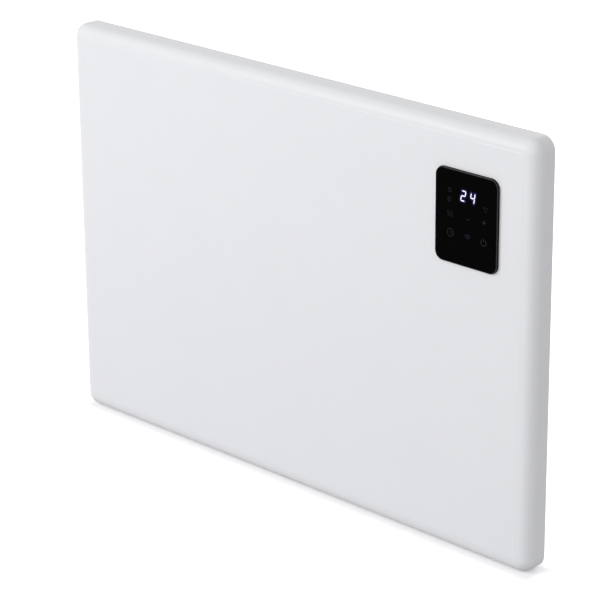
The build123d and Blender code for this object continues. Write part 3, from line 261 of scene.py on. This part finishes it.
# Front panel: one sheet of 1.2 mm steel drawn into a shallow tray, its rim folded in behind and the whole
# powder-coated white. The bend round the face has a 13 mm radius, and the face a window for the control.
def powder_coat(name, colour, gloss, shine=0.5):
    """Stoved powder paint: a soft gloss, a fine orange peel and the faint clouding of a thick coat."""
    coat = Finish(bpy.data.materials.new(name))
    peel = coat.noise(430.0, detail=2.0)
    pores = coat.noise(2900.0, detail=1.0)
    cloud = coat.noise(11.0, detail=3.0)
    thin = tuple(0.975 * c for c in colour)
    coat.set(
        Base_Color=coat.mix(cloud, thin, colour),
        Roughness=gloss + 0.10 * (cloud - 0.5) + 0.08 * (pores - 0.5),
        Normal=coat.bump(peel + 0.25 * pores, 0.00003, 0.55),
        Specular_IOR_Level=shine,
    )
    return coat.owner


def outline(half_w, half_h, corner, steps):
    """Points round a rectangle with rounded corners, anticlockwise from the right, as many at any size."""
    points = []
    for quarter, (side, end) in enumerate(((1, 1), (-1, 1), (-1, -1), (1, -1))):
        for step in range(steps + 1):
            turn = math.pi / 2 * (quarter + step / steps)
            points.append((
                side * (half_w - corner) + corner * math.cos(turn),
                end * (half_h - corner) + corner * math.sin(turn),
            ))
    return points


def ring_skin(rings, capped=False):
    """Vertices and faces of a skin over closed rings of as many points each, with its ends closed or open."""
    count = len(rings[0])
    vertices = [point for ring in rings for point in ring]
    faces = [
        (r * count + i, r * count + (i + 1) % count, (r + 1) * count + (i + 1) % count, (r + 1) * count + i)
        for r in range(len(rings) - 1) for i in range(count)
    ]
    if capped:
        faces.append(tuple(reversed(range(count))))
        faces.append(tuple(range(len(vertices) - count, len(vertices))))
    return vertices, faces


def make(name, vertices, faces, material, body, stands_for=(), smooth=True):
    """A piece of the object, which rides on a body and takes the finish it is given."""
    mesh = bpy.data.meshes.new(name)
    mesh.from_pydata(vertices, [], faces)
    mesh.validate()
    mesh.polygons.foreach_set("use_smooth", [smooth] * len(mesh.polygons))
    mesh.materials.append(material)
    made = bpy.data.objects.new(name, mesh)
    bpy.context.scene.collection.objects.link(made)
    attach(made, body)
    if stands_for:
        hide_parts(*stands_for)
    return made


def keep_flats(piece):
    """Lets broad flat faces set the shading, so that only the bends look round."""
    weighted = piece.modifiers.new("flats", "WEIGHTED_NORMAL")
    weighted.mode = "FACE_AREA"
    weighted.keep_sharp = True


panel_half_w = panel_high.x
panel_half_h = panel_high.z
panel_front = panel_low.y
panel_back = panel_high.y
panel_corner = 0.0145
panel_tightest = 0.0006     # the sharpest corner that a ring further in keeps
panel_edge = 0.013
panel_rim_bend = 0.0016
panel_rim = 0.015
panel_sheet = 0.0012
panel_crease = 0.0013       # the press leaves a soft crease where the bend meets the face,
panel_proud = 0.0003        # and the face a hair proud of it
corner_steps = 14
rim_steps = 5
bend_steps = 14
crease_steps = 6

glass_low, glass_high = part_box("touch_glass")
glass_x = (glass_low.x + glass_high.x) / 2
glass_z = (glass_low.z + glass_high.z) / 2
window_half_w = 0.0333
window_half_h = 0.0393
window_corner = 0.0043

profile = [(panel_rim, panel_back), (panel_rim_bend, panel_back)]
for step in range(1, rim_steps + 1):
    turn = math.pi / 2 * step / rim_steps
    inset = panel_rim_bend * (1 - math.sin(turn))
    profile.append((inset, panel_back - panel_rim_bend * (1 - math.cos(turn))))
for step in range(bend_steps + 1):
    turn = math.pi / 2 * step / bend_steps
    bend_y = panel_front + panel_proud + (panel_edge - panel_proud) * (1 - math.sin(turn))
    profile.append((panel_edge * (1 - math.cos(turn)), bend_y))
for step in range(1, crease_steps + 1):
    rise = (1 - math.cos(math.pi * step / crease_steps)) / 2
    profile.append((panel_edge + panel_crease * step / crease_steps, panel_front + panel_proud * (1 - rise)))
panel_rings = []
for inset, y in profile:
    tight = max(panel_corner - inset, panel_tightest)
    ring = outline(panel_half_w - inset, panel_half_h - inset, tight, corner_steps)
    panel_rings.append([(x, y, z) for x, z in ring])
window = outline(window_half_w, window_half_h, window_corner, corner_steps)
panel_rings.append([(glass_x + x, panel_front, glass_z + z) for x, z in window])
panel_points, panel_faces = ring_skin(panel_rings)
white_paint = powder_coat("panel_white", (0.844, 0.849, 0.872), gloss=0.30, shine=0.13)
panel_skin = make("panel_skin", panel_points, panel_faces, white_paint, "heater",
                  ["front_shell"])
thickness = panel_skin.modifiers.new("sheet", "SOLIDIFY")
thickness.thickness = panel_sheet
thickness.offset = -1.0
keep_flats(panel_skin)


# Ribs: two hat-shaped strips of thin steel bonded behind the face, which stop the large flat sheet drumming.
# They're cut from zinc-coated coil and left as dull as it comes.
def rolled_metal(name, colour, gloss, along=(1.0, 1.0, 0.03)):
    """Bare metal: fine rolling lines along one axis, and faint stains where it has been handled."""
    metal = Finish(bpy.data.materials.new(name))
    lines = metal.noise(3200.0, detail=3.0, stretch=along)
    stain = metal.noise(38.0, detail=4.0)
    dull = tuple(0.80 * c for c in colour)
    metal.set(
        Base_Color=metal.mix(stain, dull, colour),
        Metallic=1.0,
        Roughness=gloss + 0.18 * (lines - 0.5) + 0.16 * (stain - 0.5),
        Normal=metal.bump(lines, 0.000012, 0.35),
    )
    return metal.owner


def dress(material, *names):
    """Gives solid pieces their finish, through the slots they came with."""
    for name in names:
        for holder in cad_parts[name].material_slots:
            holder.material = material


def soften(width, *names):
    """Joins the faces of solid pieces and breaks their sharp edges, as tools, paint and plating do."""
    for name in names:
        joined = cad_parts[name].modifiers.new("joined", "WELD")
        joined.merge_threshold = 0.000002
        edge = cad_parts[name].modifiers.new("soft_edge", "BEVEL")
        edge.width = width
        edge.segments = 2
        edge.limit_method = "ANGLE"
        edge.angle_limit = math.radians(40)
        edge.harden_normals = True


dress(rolled_metal("rib_zinc", (0.62, 0.63, 0.64), 0.42), "panel_stiffeners")


# Touch control, outside: a plate of black printed glass with ground edges in a matt black moulded frame, laid
# on a thin foam ring. Behind its print shine the two figures; the key symbols are dim until touched.
def moulded(name, colour, gloss, grain=0.000018, shine=0.5):
    """Moulded plastic: the fine spark-eroded grain of its tool, and small changes of gloss across it."""
    resin = Finish(bpy.data.materials.new(name))
    spark = resin.noise(2600.0, detail=2.0)
    flow = resin.noise(42.0, detail=3.0)
    deep = tuple(0.90 * c for c in colour)
    resin.set(
        Base_Color=resin.mix(flow, deep, colour),
        Roughness=gloss + 0.14 * (spark - 0.5) + 0.10 * (flow - 0.5),
        Normal=resin.bump(spark, grain, 0.5),
        Specular_IOR_Level=shine,
    )
    return resin.owner


def glazed(name, colour, gloss, shine):
    """Printed or ground glass: nearly smooth, with the faint waviness of rolled plate."""
    plate = Finish(bpy.data.materials.new(name))
    wave = plate.noise(24.0, detail=2.0)
    dust = plate.noise(5200.0, detail=1.0)
    deep = tuple(0.75 * c for c in colour)
    plate.set(
        Base_Color=plate.mix(dust, deep, colour),
        Roughness=gloss + 0.04 * (dust - 0.5) + 0.02 * (wave - 0.5),
        Normal=plate.bump(wave, 0.00004, 0.10),
        Specular_IOR_Level=shine,
    )
    return plate.owner


def glowing(name, colour, level, spread):
    """Printed ink lit from behind: the lamp's unevenness shows as soft patches of brightness."""
    ink = Finish(bpy.data.materials.new(name))
    patch = ink.noise(spread, detail=2.0)
    weak = tuple(0.82 * c for c in colour)
    ink.set(
        Base_Color=(0.0, 0.0, 0.0),
        Roughness=0.3,
        Specular_IOR_Level=0.0,
        Emission_Color=ink.mix(patch, weak, colour),
        Emission_Strength=level,
    )
    return ink.owner


glass_half_w = (glass_high.x - glass_low.x) / 2
glass_half_h = (glass_high.z - glass_low.z) / 2
glass_corner = 0.00905
glass_corner_steps = 12
glass_round = 0.0006
glass_round_steps = 4
ink_thickness = 0.00001     # the print lies in thin layers in front of the glass:
print_face = glass_low.y + ink_thickness            # figures and symbols,
halo_face = glass_low.y + 2 * ink_thickness         # the painted glow behind the figures,
glass_face = glass_low.y + 4 * ink_thickness        # and the glass itself
black_print = (0.0003, 0.0003, 0.0004)
print_gloss = 0.10
print_shine = 0.010


def glass_ring(inset, y):
    """One closed ring of the glass, at a distance in from its outline."""
    flat = outline(glass_half_w - inset, glass_half_h - inset, glass_corner - inset, glass_corner_steps)
    return [(glass_x + x, y, glass_z + z) for x, z in flat]


edge_rings = [glass_ring(0.0, glass_high.y), glass_ring(0.0, glass_face + glass_round)]
for step in range(1, glass_round_steps + 1):
    turn = math.pi / 2 * step / glass_round_steps
    edge_rings.append(
        glass_ring(glass_round * (1 - math.cos(turn)), glass_face + glass_round * (1 - math.sin(turn)))
    )
glass_points, glass_faces = ring_skin(edge_rings, capped=True)
ground_edge = glazed("ground_glass", (0.012, 0.012, 0.013), gloss=0.28, shine=0.30)
plate = make("glass_plate", glass_points, glass_faces, ground_edge, "heater",
             ["touch_glass"])
plate.data.materials.append(glazed("black_print", black_print, print_gloss, print_shine))
for cap in plate.data.polygons[-2:]:
    cap.material_index = 1
    cap.use_smooth = False


def film(piece, thickness):
    """Gives a printed or lit mark the thickness of its ink, behind the face that shows."""
    ink = piece.modifiers.new("ink", "SOLIDIFY")
    ink.thickness = thickness
    ink.offset = -1.0


# The figures are bars with pointed ends, leaning over as such displays do, and a painted violet glow hugs
# them.
figure_bars = {
    "top": ((-1, 1), (1, 1)), "middle": ((-1, 0), (1, 0)), "bottom": ((-1, -1), (1, -1)),
    "left_high": ((-1, 0), (-1, 1)), "left_low": ((-1, -1), (-1, 0)),
    "right_high": ((1, 0), (1, 1)), "right_low": ((1, -1), (1, 0)),
}
figures = (     # the bars lit in each figure, left to right: a 2 and a 4
    ("top", "right_high", "middle", "left_low", "bottom"),
    ("left_high", "middle", "right_high", "right_low"),
)
figure_pitch = 0.0112
figure_half_w = 0.0023
figure_half_h = 0.0048
figure_lean = math.tan(math.radians(9))
figure_side = 0.0021
figure_height = 0.0226
bar_half = 0.00050
bar_gap = 0.00015

bar_points = []
bar_faces = []
bar_lines = []
for place, lit_bars in zip((-0.5, 0.5), figures):
    for bar in lit_bars:
        start, end = (Vector((x * figure_half_w, z * figure_half_h)) for x, z in figure_bars[bar])
        along = (end - start).normalized()
        aside = Vector((-along.y, along.x)) * bar_half
        start += along * bar_gap
        end -= along * bar_gap
        tip = along * bar_half
        loop = (start, start + tip - aside, end - tip - aside, end, end - tip + aside, start + tip + aside)
        leaned = [
            (figure_side + place * figure_pitch + p.x + figure_lean * p.y, figure_height + p.y) for p in loop
        ]
        bar_faces.append(tuple(range(len(bar_points), len(bar_points) + len(loop))))
        bar_points += [(glass_x + x, print_face, glass_z + z) for x, z in leaned]
        bar_lines.append((Vector(leaned[0]), Vector(leaned[3])))
figure_light = glowing("figure_light", (0.88, 0.88, 1.0), level=1.6, spread=260.0)
lit_figures = make("figures", bar_points, bar_faces, figure_light, "heater", smooth=False)
film(lit_figures, ink_thickness)


def gap_to(point, start, end):
    """Distance from a point to the nearest of the points between two ends."""
    along = end - start
    share = max(0.0, min(1.0, (point - start).dot(along) / along.length_squared))
    return (point - start - share * along).length


# Painted glow: the light spread round the lit bars is drawn as a violet emission that fades away from them.
halo_middle = Vector((figure_side, figure_height))
halo_half_w = 0.0135
halo_half_h = 0.0085
halo_step = 0.0004
halo_reach = 0.0020         # from the edge of a bar to where its painted glow ends
across = round(2 * halo_half_w / halo_step)
upward = round(2 * halo_half_h / halo_step)
halo_points = []
halo_levels = []
for row in range(upward + 1):
    for column in range(across + 1):
        spot = Vector((column * halo_step - halo_half_w, row * halo_step - halo_half_h)) + halo_middle
        near = min(gap_to(spot, start, end) for start, end in bar_lines)
        halo_points.append((glass_x + spot.x, halo_face, glass_z + spot.y))
        halo_levels.append(max(0.0, 1.0 - max(0.0, near - bar_half) / halo_reach) ** 2)
halo_faces = []
for row in range(upward):
    for column in range(across):
        first = row * (across + 1) + column
        halo_faces.append((first, first + 1, first + across + 2, first + across + 1))
# Painted glow: black print that gives off violet light near the bars, standing in for their spread light.
painted_glow = Finish(bpy.data.materials.new("figure_painted_glow"))
lit = painted_glow.node("Attribute", {"attribute_name": "lit"}, out="Fac")
painted_glow.set(
    Base_Color=black_print,
    Roughness=print_gloss,
    Specular_IOR_Level=print_shine,
    Emission_Color=painted_glow.mix(lit, (0.0, 0.0, 0.0), (0.13, 0.11, 0.52)),
    Emission_Strength=0.36,
)
halo = make("figure_halo", halo_points, halo_faces, painted_glow.owner, "heater", smooth=False)
halo.data.attributes.new("lit", "FLOAT", "POINT").data.foreach_set("value", halo_levels)
film(halo, ink_thickness)


# Its key symbols are thin printed lines in millimetres from the middle of the glass: two small signs, heat,
# clock, minus, wireless, down, plus and on-off.
def arc(x, z, radius, start, stop, steps=20):
    """Points along an arc, between two angles in degrees."""
    turns = [math.radians(start + (stop - start) * i / steps) for i in range(steps + 1)]
    return [(x + radius * math.cos(turn), z + radius * math.sin(turn)) for turn in turns]


def stroke(points, width):
    """Vertices and faces of a printed line through points of the glass, in millimetres."""
    spots = [Vector(point) for point in points]
    sides = []
    for i, spot in enumerate(spots):
        ahead = spots[min(i + 1, len(spots) - 1)]
        behind = spots[max(i - 1, 0)]
        along = (ahead - behind).normalized()
        aside = Vector((-along.y, along.x)) * width / 2
        sides += [spot - aside, spot + aside]
    vertices = [(glass_x + p.x / 1000, print_face, glass_z + p.y / 1000) for p in sides]
    faces = [(2 * i, 2 * i + 2, 2 * i + 3, 2 * i + 1) for i in range(len(spots) - 1)]
    return vertices, faces


def wavy(x, z, swing=0.55, height=6.0, steps=10):
    """One rising line of warm air, a full wave long, about a middle point."""
    turns = [2 * math.pi * i / steps for i in range(steps + 1)]
    return [(x + swing * math.sin(turn), z + height * (i / steps - 0.5)) for i, turn in enumerate(turns)]


symbols = (     # name, brightness and lines
    ("sign_symbols", 0.022, (
        [(-21.9, 23.3), (-18.3, 23.3), (-18.3, 25.7), (-21.9, 25.7), (-21.9, 23.3)],
        arc(-20.1, 25.7, 1.15, 0, 180),
        [(-22.2, 14.2), (-18.8, 14.2), (-18.8, 17.8), (-22.2, 17.8), (-22.2, 14.2)],
        [(-20.5, 14.2), (-20.5, 17.8)],
    )),
    ("heat_symbol", 0.024, (wavy(-21.7, 2.5), wavy(-19.2, 2.5), wavy(-16.7, 2.5))),
    ("clock_symbol", 0.030, (
        arc(-18.7, -16.0, 3.8, 0, 360, 40), [(-18.7, -13.4), (-18.7, -16.0), (-16.8, -17.1)],
    )),
    ("minus_symbol", 0.026, ([(0.0, 1.0), (4.6, 1.0)],)),
    ("wireless_symbol", 0.038, (
        arc(2.3, -18.9, 1.7, 45, 135), arc(2.3, -18.9, 3.3, 45, 135), arc(2.3, -18.9, 4.9, 45, 135),
        [(2.0, -18.9), (2.6, -18.9)],
    )),
    ("down_symbol", 0.020, ([(20.6, 17.0), (26.6, 17.0), (23.6, 12.4), (20.6, 17.0)],)),
    ("plus_symbol", 0.042, ([(19.6, 2.4), (24.0, 2.4)], [(21.8, 0.2), (21.8, 4.6)])),
    ("power_symbol", 0.036, (
        arc(21.8, -16.9, 3.15, -235, 55, 32), [(21.8, -16.2), (21.8, -12.8)],
    )),
)
symbol_line = 0.62
white_light = (0.86, 0.88, 1.0)
blue_light = (0.55, 0.62, 1.0)
for name, level, lines in symbols:
    vertices = []
    faces = []
    for line in lines:
        more, quads = stroke(line, symbol_line)
        faces += [tuple(len(vertices) + i for i in quad) for quad in quads]
        vertices += more
    tint = blue_light if name == "wireless_symbol" else white_light
    sign_light = glowing(name, tint, level, spread=420.0)
    sign = make(name, vertices, faces, sign_light, "heater", smooth=False)
    film(sign, ink_thickness)

dress(moulded("frame_black", (0.006, 0.006, 0.006), 0.62, 0.00002, 0.10), "control_bezel", "control_cap")
soften(0.00018, "control_bezel")
dress(moulded("foam_black", (0.020, 0.020, 0.020), 0.90, 0.00012, 0.2), "control_gasket")


# Touch control, inside: a white light guide and a figure module behind the glass, a contact spring per key,
# and a green board with its chips, sounder and radio under a tinned can. Four long screws hold it together.
def laminate(name):
    """Circuit board: green varnish over rows of copper tracks, with tinned pads among them."""
    board = Finish(bpy.data.materials.new(name))
    spot = board.place()
    flat = board.node("CombineXYZ", sockets={
        "X": board.coordinate("X", spot),
        "Y": board.coordinate("Z", spot),
    })
    tracks = board.node("TexBrick", {"offset": 0.37, "squash": 1.6}, {
        "Vector": flat, "Scale": 1.0, "Mortar Size": 0.00028, "Brick Width": 0.0074, "Row Height": 0.0021,
    }, out="Fac")
    pads = board.node("TexVoronoi", {"feature": "F1"}, {"Vector": flat, "Scale": 250.0}) < 0.16
    varnish = board.mix(tracks, (0.012, 0.085, 0.034), (0.030, 0.165, 0.060))
    board.set(
        Base_Color=board.mix(pads, varnish, (0.62, 0.61, 0.58)),
        Metallic=0.9 * pads,
        Roughness=0.32 + 0.10 * board.noise(900.0, detail=2.0),
        Normal=board.bump(tracks + pads, 0.00004, 0.6),
    )
    return board.owner


def speckled(name, colour, other, size, gloss):
    """A grainy solid such as fired clay or cast resin, with flecks of a second colour."""
    grains = Finish(bpy.data.materials.new(name))
    fleck = grains.noise(1.0 / size, detail=3.0)
    grains.set(
        Base_Color=grains.mix(fleck, colour, other),
        Roughness=gloss + 0.16 * (fleck - 0.5),
        Normal=grains.bump(fleck, 0.00003, 0.6),
    )
    return grains.owner


screw_zinc = rolled_metal("screw_zinc", (0.66, 0.67, 0.69), 0.26, (1.0, 0.2, 1.0))
green_board = laminate("green_board")
dress(moulded("guide_white", (0.72, 0.73, 0.74), 0.38), "light_guide")
dress(moulded("module_black", (0.012, 0.012, 0.013), 0.34), "digit_display")
dress(rolled_metal("spring_steel", (0.70, 0.70, 0.69), 0.18, (1.0, 0.05, 1.0)), "touch_springs")
dress(green_board, "display_board")
dress(moulded("chip_black", (0.016, 0.016, 0.017), 0.55, 0.00003), "display_chips", "buzzer")
dress(rolled_metal("tinned_can", (0.74, 0.74, 0.73), 0.24, (0.05, 1.0, 1.0)), "radio_module")
dress(screw_zinc, "control_screws")


# Rear box: drawn steel with a brim, a dished back, rows of air slots above and below and keyed slots for the
# hooks and locks, in the panel's paint but duller. Zinc screws hold its brim to the panel's folded rim.
dress(powder_coat("box_white", (0.66, 0.67, 0.69), 0.50), "rear_cover")
dress(screw_zinc, "rim_screws", "box_screws")


# Wall buffers: two round rubber feet, moulded with three grooves and pushed into the back near its lower
# corners by a barbed neck. They hold the heater's foot off the wall, level with the bracket.
def rubber(name, colour):
    """Black rubber: dull, with bloom in patches and the fine pits of its mould."""
    soft = Finish(bpy.data.materials.new(name))
    bloom = soft.noise(160.0, detail=4.0)
    pits = soft.noise(3400.0, detail=2.0)
    pale = tuple(min(1.0, c * 1.9) for c in colour)
    soft.set(
        Base_Color=soft.mix(bloom, colour, pale),
        Roughness=0.72 + 0.16 * (pits - 0.5),
        Normal=soft.bump(pits, 0.00003, 0.6),
    )
    return soft.owner


buffer_low, buffer_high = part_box("wall_buffers")
buffer_widest = 0.0092
buffer_spare = 0.0001       # left free between the foot and the side of its box
buffer_x = buffer_high.x - buffer_widest - buffer_spare
buffer_z = (buffer_low.z + buffer_high.z) / 2
buffer_profile = (      # radius and distance off the wall, in millimetres
    (5.6, 0.25), (5.9, 0.0), (7.3, 0.0), (7.9, 0.5), (8.0, 1.2), (8.15, 3.3), (7.45, 3.7),
    (7.45, 4.5), (8.2, 4.9), (8.4, 7.6), (7.7, 8.0), (7.7, 8.8), (8.5, 9.2), (8.75, 11.9), (8.0, 12.3),
    (8.0, 13.1), (8.85, 13.5), (9.2, 17.2), (9.0, 17.9), (3.0, 17.9), (2.9, 19.2), (3.4, 19.6), (3.3, 20.2),
    (2.2, 21.1),
)
buffer_steps = 48
buffer_turns = [2 * math.pi * i / buffer_steps for i in range(buffer_steps)]
foot_rubber = rubber("foot_rubber", (0.018, 0.018, 0.019))
for side, hand in ((-1, "left"), (1, "right")):
    round_rings = []
    for radius, off in buffer_profile:
        reach = radius / 1000
        round_rings.append([
            (side * buffer_x + reach * math.cos(turn), -off / 1000, buffer_z + reach * math.sin(turn))
            for turn in buffer_turns
        ])
    buffer_points, buffer_faces = ring_skin(round_rings, capped=True)
    foot = make(f"buffer_{hand}", buffer_points, buffer_faces, foot_rubber, "heater",
                ["wall_buffers"])
    keep_flats(foot)


# Mains switch: a black rocker in a snap-in frame in the right wall of the box, with brass tabs behind it. The
# on and off marks are pad-printed on the rocker and tip with it.
def drape(node, spots, direction, lift):
    """Points of a piece's surface met along a direction, lifted a little off it."""
    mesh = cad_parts[node].data
    skin = BVHTree.FromPolygons([v.co for v in mesh.vertices], [tuple(p.vertices) for p in mesh.polygons])
    found = []
    for spot in spots:
        met = skin.ray_cast(spot, direction)
        found.append(met[0] - lift * direction)
    return found


def printed_ring(y, z, radius, width, steps=28):
    """Spots and faces of a printed ring seen from the right, in millimetres."""
    spots = []
    for i in range(steps):
        turn = 2 * math.pi * i / steps
        for reach in (radius - width / 2, radius + width / 2):
            spots.append((y + reach * math.cos(turn), z + reach * math.sin(turn)))
    faces = [(2 * i, 2 * i + 1, (2 * i + 3) % (2 * steps), (2 * i + 2) % (2 * steps)) for i in range(steps)]
    return spots, faces


rocker_low, rocker_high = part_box("switch_rocker")
rocker_y = (rocker_low.y + rocker_high.y) * 500     # its middle, in millimetres as the marks are
rocker_z = (rocker_low.z + rocker_high.z) * 500
on_bar_side = 0.3
on_bar_low = 2.2
on_bar_high = 4.4
off_ring_drop = 3.2
off_ring_radius = 1.05
off_ring_line = 0.4
mark_lift = 0.00004
mark_thickness = 0.00008
outside_x = 0.30            # a little to the right of the rocker
inward = Vector((-1.0, 0.0, 0.0))

mark_bar = [
    (rocker_y + side * on_bar_side, rocker_z + height)
    for side, height in ((-1, on_bar_low), (1, on_bar_low), (1, on_bar_high), (-1, on_bar_high))
]
off_z = rocker_z - off_ring_drop
mark_ring, ring_quads = printed_ring(rocker_y, off_z, off_ring_radius, off_ring_line)
white_ink = moulded("mark_ink", (0.72, 0.72, 0.70), 0.55, 0.00001)
for name, spots, quads in (("mark_on", mark_bar, [(0, 1, 2, 3)]), ("mark_off", mark_ring, ring_quads)):
    starts = [Vector((outside_x, y / 1000, z / 1000)) for y, z in spots]
    print_points = drape("switch_rocker", starts, inward, mark_lift)
    mark = make(name, print_points, quads, white_ink, "rocker", smooth=False)
    film(mark, mark_thickness)

dress(moulded("switch_black", (0.020, 0.020, 0.021), 0.46), "switch_body")
dress(moulded("rocker_black", (0.014, 0.014, 0.015), 0.26, 0.000006), "switch_rocker")
tinned_brass = rolled_metal("tinned_brass", (0.70, 0.66, 0.55), 0.30, (0.05, 1.0, 1.0))
dress(tinned_brass, "switch_terminals")
soften(0.0002, "switch_body", "switch_rocker")


# Cord inlet: a black nylon gland in the floor of the box, with a dome nut and a counter-nut inside. The cord
# that would come in here isn't part of this object.
dress(moulded("gland_black", (0.022, 0.022, 0.023), 0.44, 0.00002), "cable_gland", "gland_nut")
soften(0.0002, "cable_gland", "gland_nut")


# Duct and heating element: folded bright steel that makes a chimney and keeps heat off the panel, and in it a
# sheathed rod with pressed aluminium fins, held at both ends in ceramic bushes on spring steel brackets.
def tempered(name, colour, warm, gloss):
    """Metal that has been hot: it keeps straw and brown stains in soft bands."""
    metal = Finish(bpy.data.materials.new(name))
    heat = metal.noise(26.0, detail=3.0, stretch=(0.35, 1.0, 1.0))
    lines = metal.noise(3600.0, detail=2.0, stretch=(0.03, 1.0, 1.0))
    metal.set(
        Base_Color=metal.mix(heat, colour, warm),
        Metallic=1.0,
        Roughness=gloss + 0.20 * (lines - 0.5) + 0.14 * (heat - 0.5),
        Normal=metal.bump(lines, 0.00001, 0.3),
    )
    return metal.owner


bright_steel = rolled_metal("duct_steel", (0.68, 0.69, 0.70), 0.24, (0.03, 1.0, 1.0))
dress(bright_steel, "air_duct", "element_bracket_left", "element_bracket_right")
dress(tempered("fin_aluminium", (0.78, 0.78, 0.78), (0.70, 0.68, 0.63), 0.30), "element_fins")
dress(tempered("rod_steel", (0.42, 0.40, 0.37), (0.24, 0.20, 0.17), 0.38), "element_rod")
dress(speckled("bush_ceramic", (0.74, 0.72, 0.66), (0.62, 0.60, 0.54), 0.0011, 0.62), "element_insulators")
dress(moulded("grommet_red", (0.30, 0.045, 0.030), 0.55, 0.00002), "duct_grommet")
dress(tinned_brass, "element_terminals")


# Thermal protection: a snap-action cutout in a dark phenolic case and a one-shot fuse in a pale one, clipped
# to the duct's wall where it runs hottest.
dress(speckled("cutout_phenolic", (0.030, 0.022, 0.016), (0.055, 0.040, 0.028), 0.0006, 0.50),
      "thermal_cutout")
dress(speckled("fuse_ceramic", (0.66, 0.62, 0.52), (0.54, 0.50, 0.42), 0.0008, 0.58), "thermal_fuse")
dress(bright_steel, "fuse_clip")


# Power board: a black tray on the back of the box carries a green board with two relays, a small potted
# transformer, a film capacitor, a glass fuse and white headers. Mains comes in at a screw block beside it.
def fuse_tube(name):
    """Clear glass over a thread of wire: pale and glossy, with darker streaks along it."""
    tube = Finish(bpy.data.materials.new(name))
    thread = tube.noise(700.0, detail=2.0, stretch=(0.05, 1.0, 1.0))
    tube.set(
        Base_Color=tube.mix(thread, (0.66, 0.70, 0.70), (0.42, 0.45, 0.46)),
        Roughness=0.06 + 0.05 * thread,
        Coat_Weight=0.5,
    )
    return tube.owner


dress(moulded("tray_black", (0.030, 0.031, 0.033), 0.56, 0.00003), "board_tray")
dress(green_board, "power_board")
dress(screw_zinc, "board_screws", "earth_screw", "earth_nut")
dress(moulded("relay_blue", (0.020, 0.075, 0.22), 0.30), "power_relays")
dress(speckled("transformer_resin", (0.020, 0.030, 0.045), (0.040, 0.055, 0.075), 0.0009, 0.44),
      "supply_transformer")
dress(moulded("capacitor_yellow", (0.62, 0.42, 0.06), 0.34), "filter_capacitor")
dress(fuse_tube("fuse_glass"), "board_fuse")
dress(moulded("header_white", (0.68, 0.66, 0.58), 0.46), "board_headers")
dress(moulded("block_white", (0.64, 0.64, 0.60), 0.44, 0.00003), "terminal_block")
dress(rolled_metal("block_brass", (0.72, 0.56, 0.28), 0.28, (1.0, 0.1, 1.0)), "terminal_screws")


# Room sensor: a bead of dark resin on its lead, held in a white clip at a slot in the floor of the box, where
# the air it measures comes in.
dress(moulded("clip_white", (0.66, 0.66, 0.64), 0.44), "sensor_clip")
dress(speckled("sensor_resin", (0.012, 0.012, 0.016), (0.028, 0.028, 0.034), 0.0005, 0.28), "room_sensor")


# Wiring: brown and blue supply leads, white silicone sleeves to the element, a yellow pair to the cutout, a
# black sensor lead and a grey lead to the touch control.
def sleeve(name, colour, other=None):
    """Wire insulation: drawn lines, a soft shine, and a second colour on some of the leads if given."""
    skin = Finish(bpy.data.materials.new(name))
    drawn = skin.noise(1400.0, detail=2.0)
    shade = tuple(0.82 * c for c in colour)
    base = skin.mix(drawn, shade, colour)
    if other:
        lead = skin.node("NewGeometry", out="Random Per Island") > 0.5
        base = skin.mix(lead, base, other)
    skin.set(
        Base_Color=base,
        Roughness=0.40 + 0.14 * (drawn - 0.5),
        Normal=skin.bump(drawn, 0.00002, 0.4),
    )
    return skin.owner


dress(sleeve("sleeve_mains", (0.115, 0.042, 0.018), (0.014, 0.075, 0.36)), "mains_leads")
dress(sleeve("sleeve_silicone", (0.66, 0.65, 0.61)), "element_leads")
dress(sleeve("sleeve_yellow", (0.66, 0.46, 0.03)), "safety_leads")
dress(sleeve("sleeve_black", (0.016, 0.016, 0.017)), "sensor_lead")
dress(sleeve("sleeve_grey", (0.22, 0.22, 0.23)), "control_lead")


# Wall bracket: a pressed steel frame, hot-dipped in zinc, whose top rail holds two hooks in slippery sleeves
# and whose bottom rail holds two quarter-turn locks. It's screwed to the wall by its stiles.
def galvanised(name):
    """Hot-dipped zinc: pale spangles, each with its own brightness, under a dull bloom."""
    zinc = Finish(bpy.data.materials.new(name))
    cells = zinc.node("TexVoronoi", {"feature": "F1"}, {"Vector": zinc.place(), "Scale": 230.0}, out="Color")
    flake = zinc.node("SeparateColor", sockets={"Color": cells})
    bloom = zinc.noise(60.0, detail=5.0)
    zinc.set(
        Base_Color=zinc.mix(0.6 * flake + 0.4 * bloom, (0.42, 0.44, 0.46), (0.66, 0.67, 0.69)),
        Metallic=1.0,
        Roughness=0.30 + 0.18 * flake + 0.14 * bloom,
        Normal=zinc.bump(0.5 * flake + bloom, 0.00003, 0.35),
    )
    return zinc.owner


dress(galvanised("bracket_zinc"), "wall_bracket")
dress(moulded("sleeve_white", (0.70, 0.70, 0.68), 0.36), "hook_sleeves")
dress(moulded("lock_grey", (0.10, 0.105, 0.11), 0.44, 0.00003), "lock_left", "lock_right")
soften(0.00025, "wall_bracket", "lock_left", "lock_right")
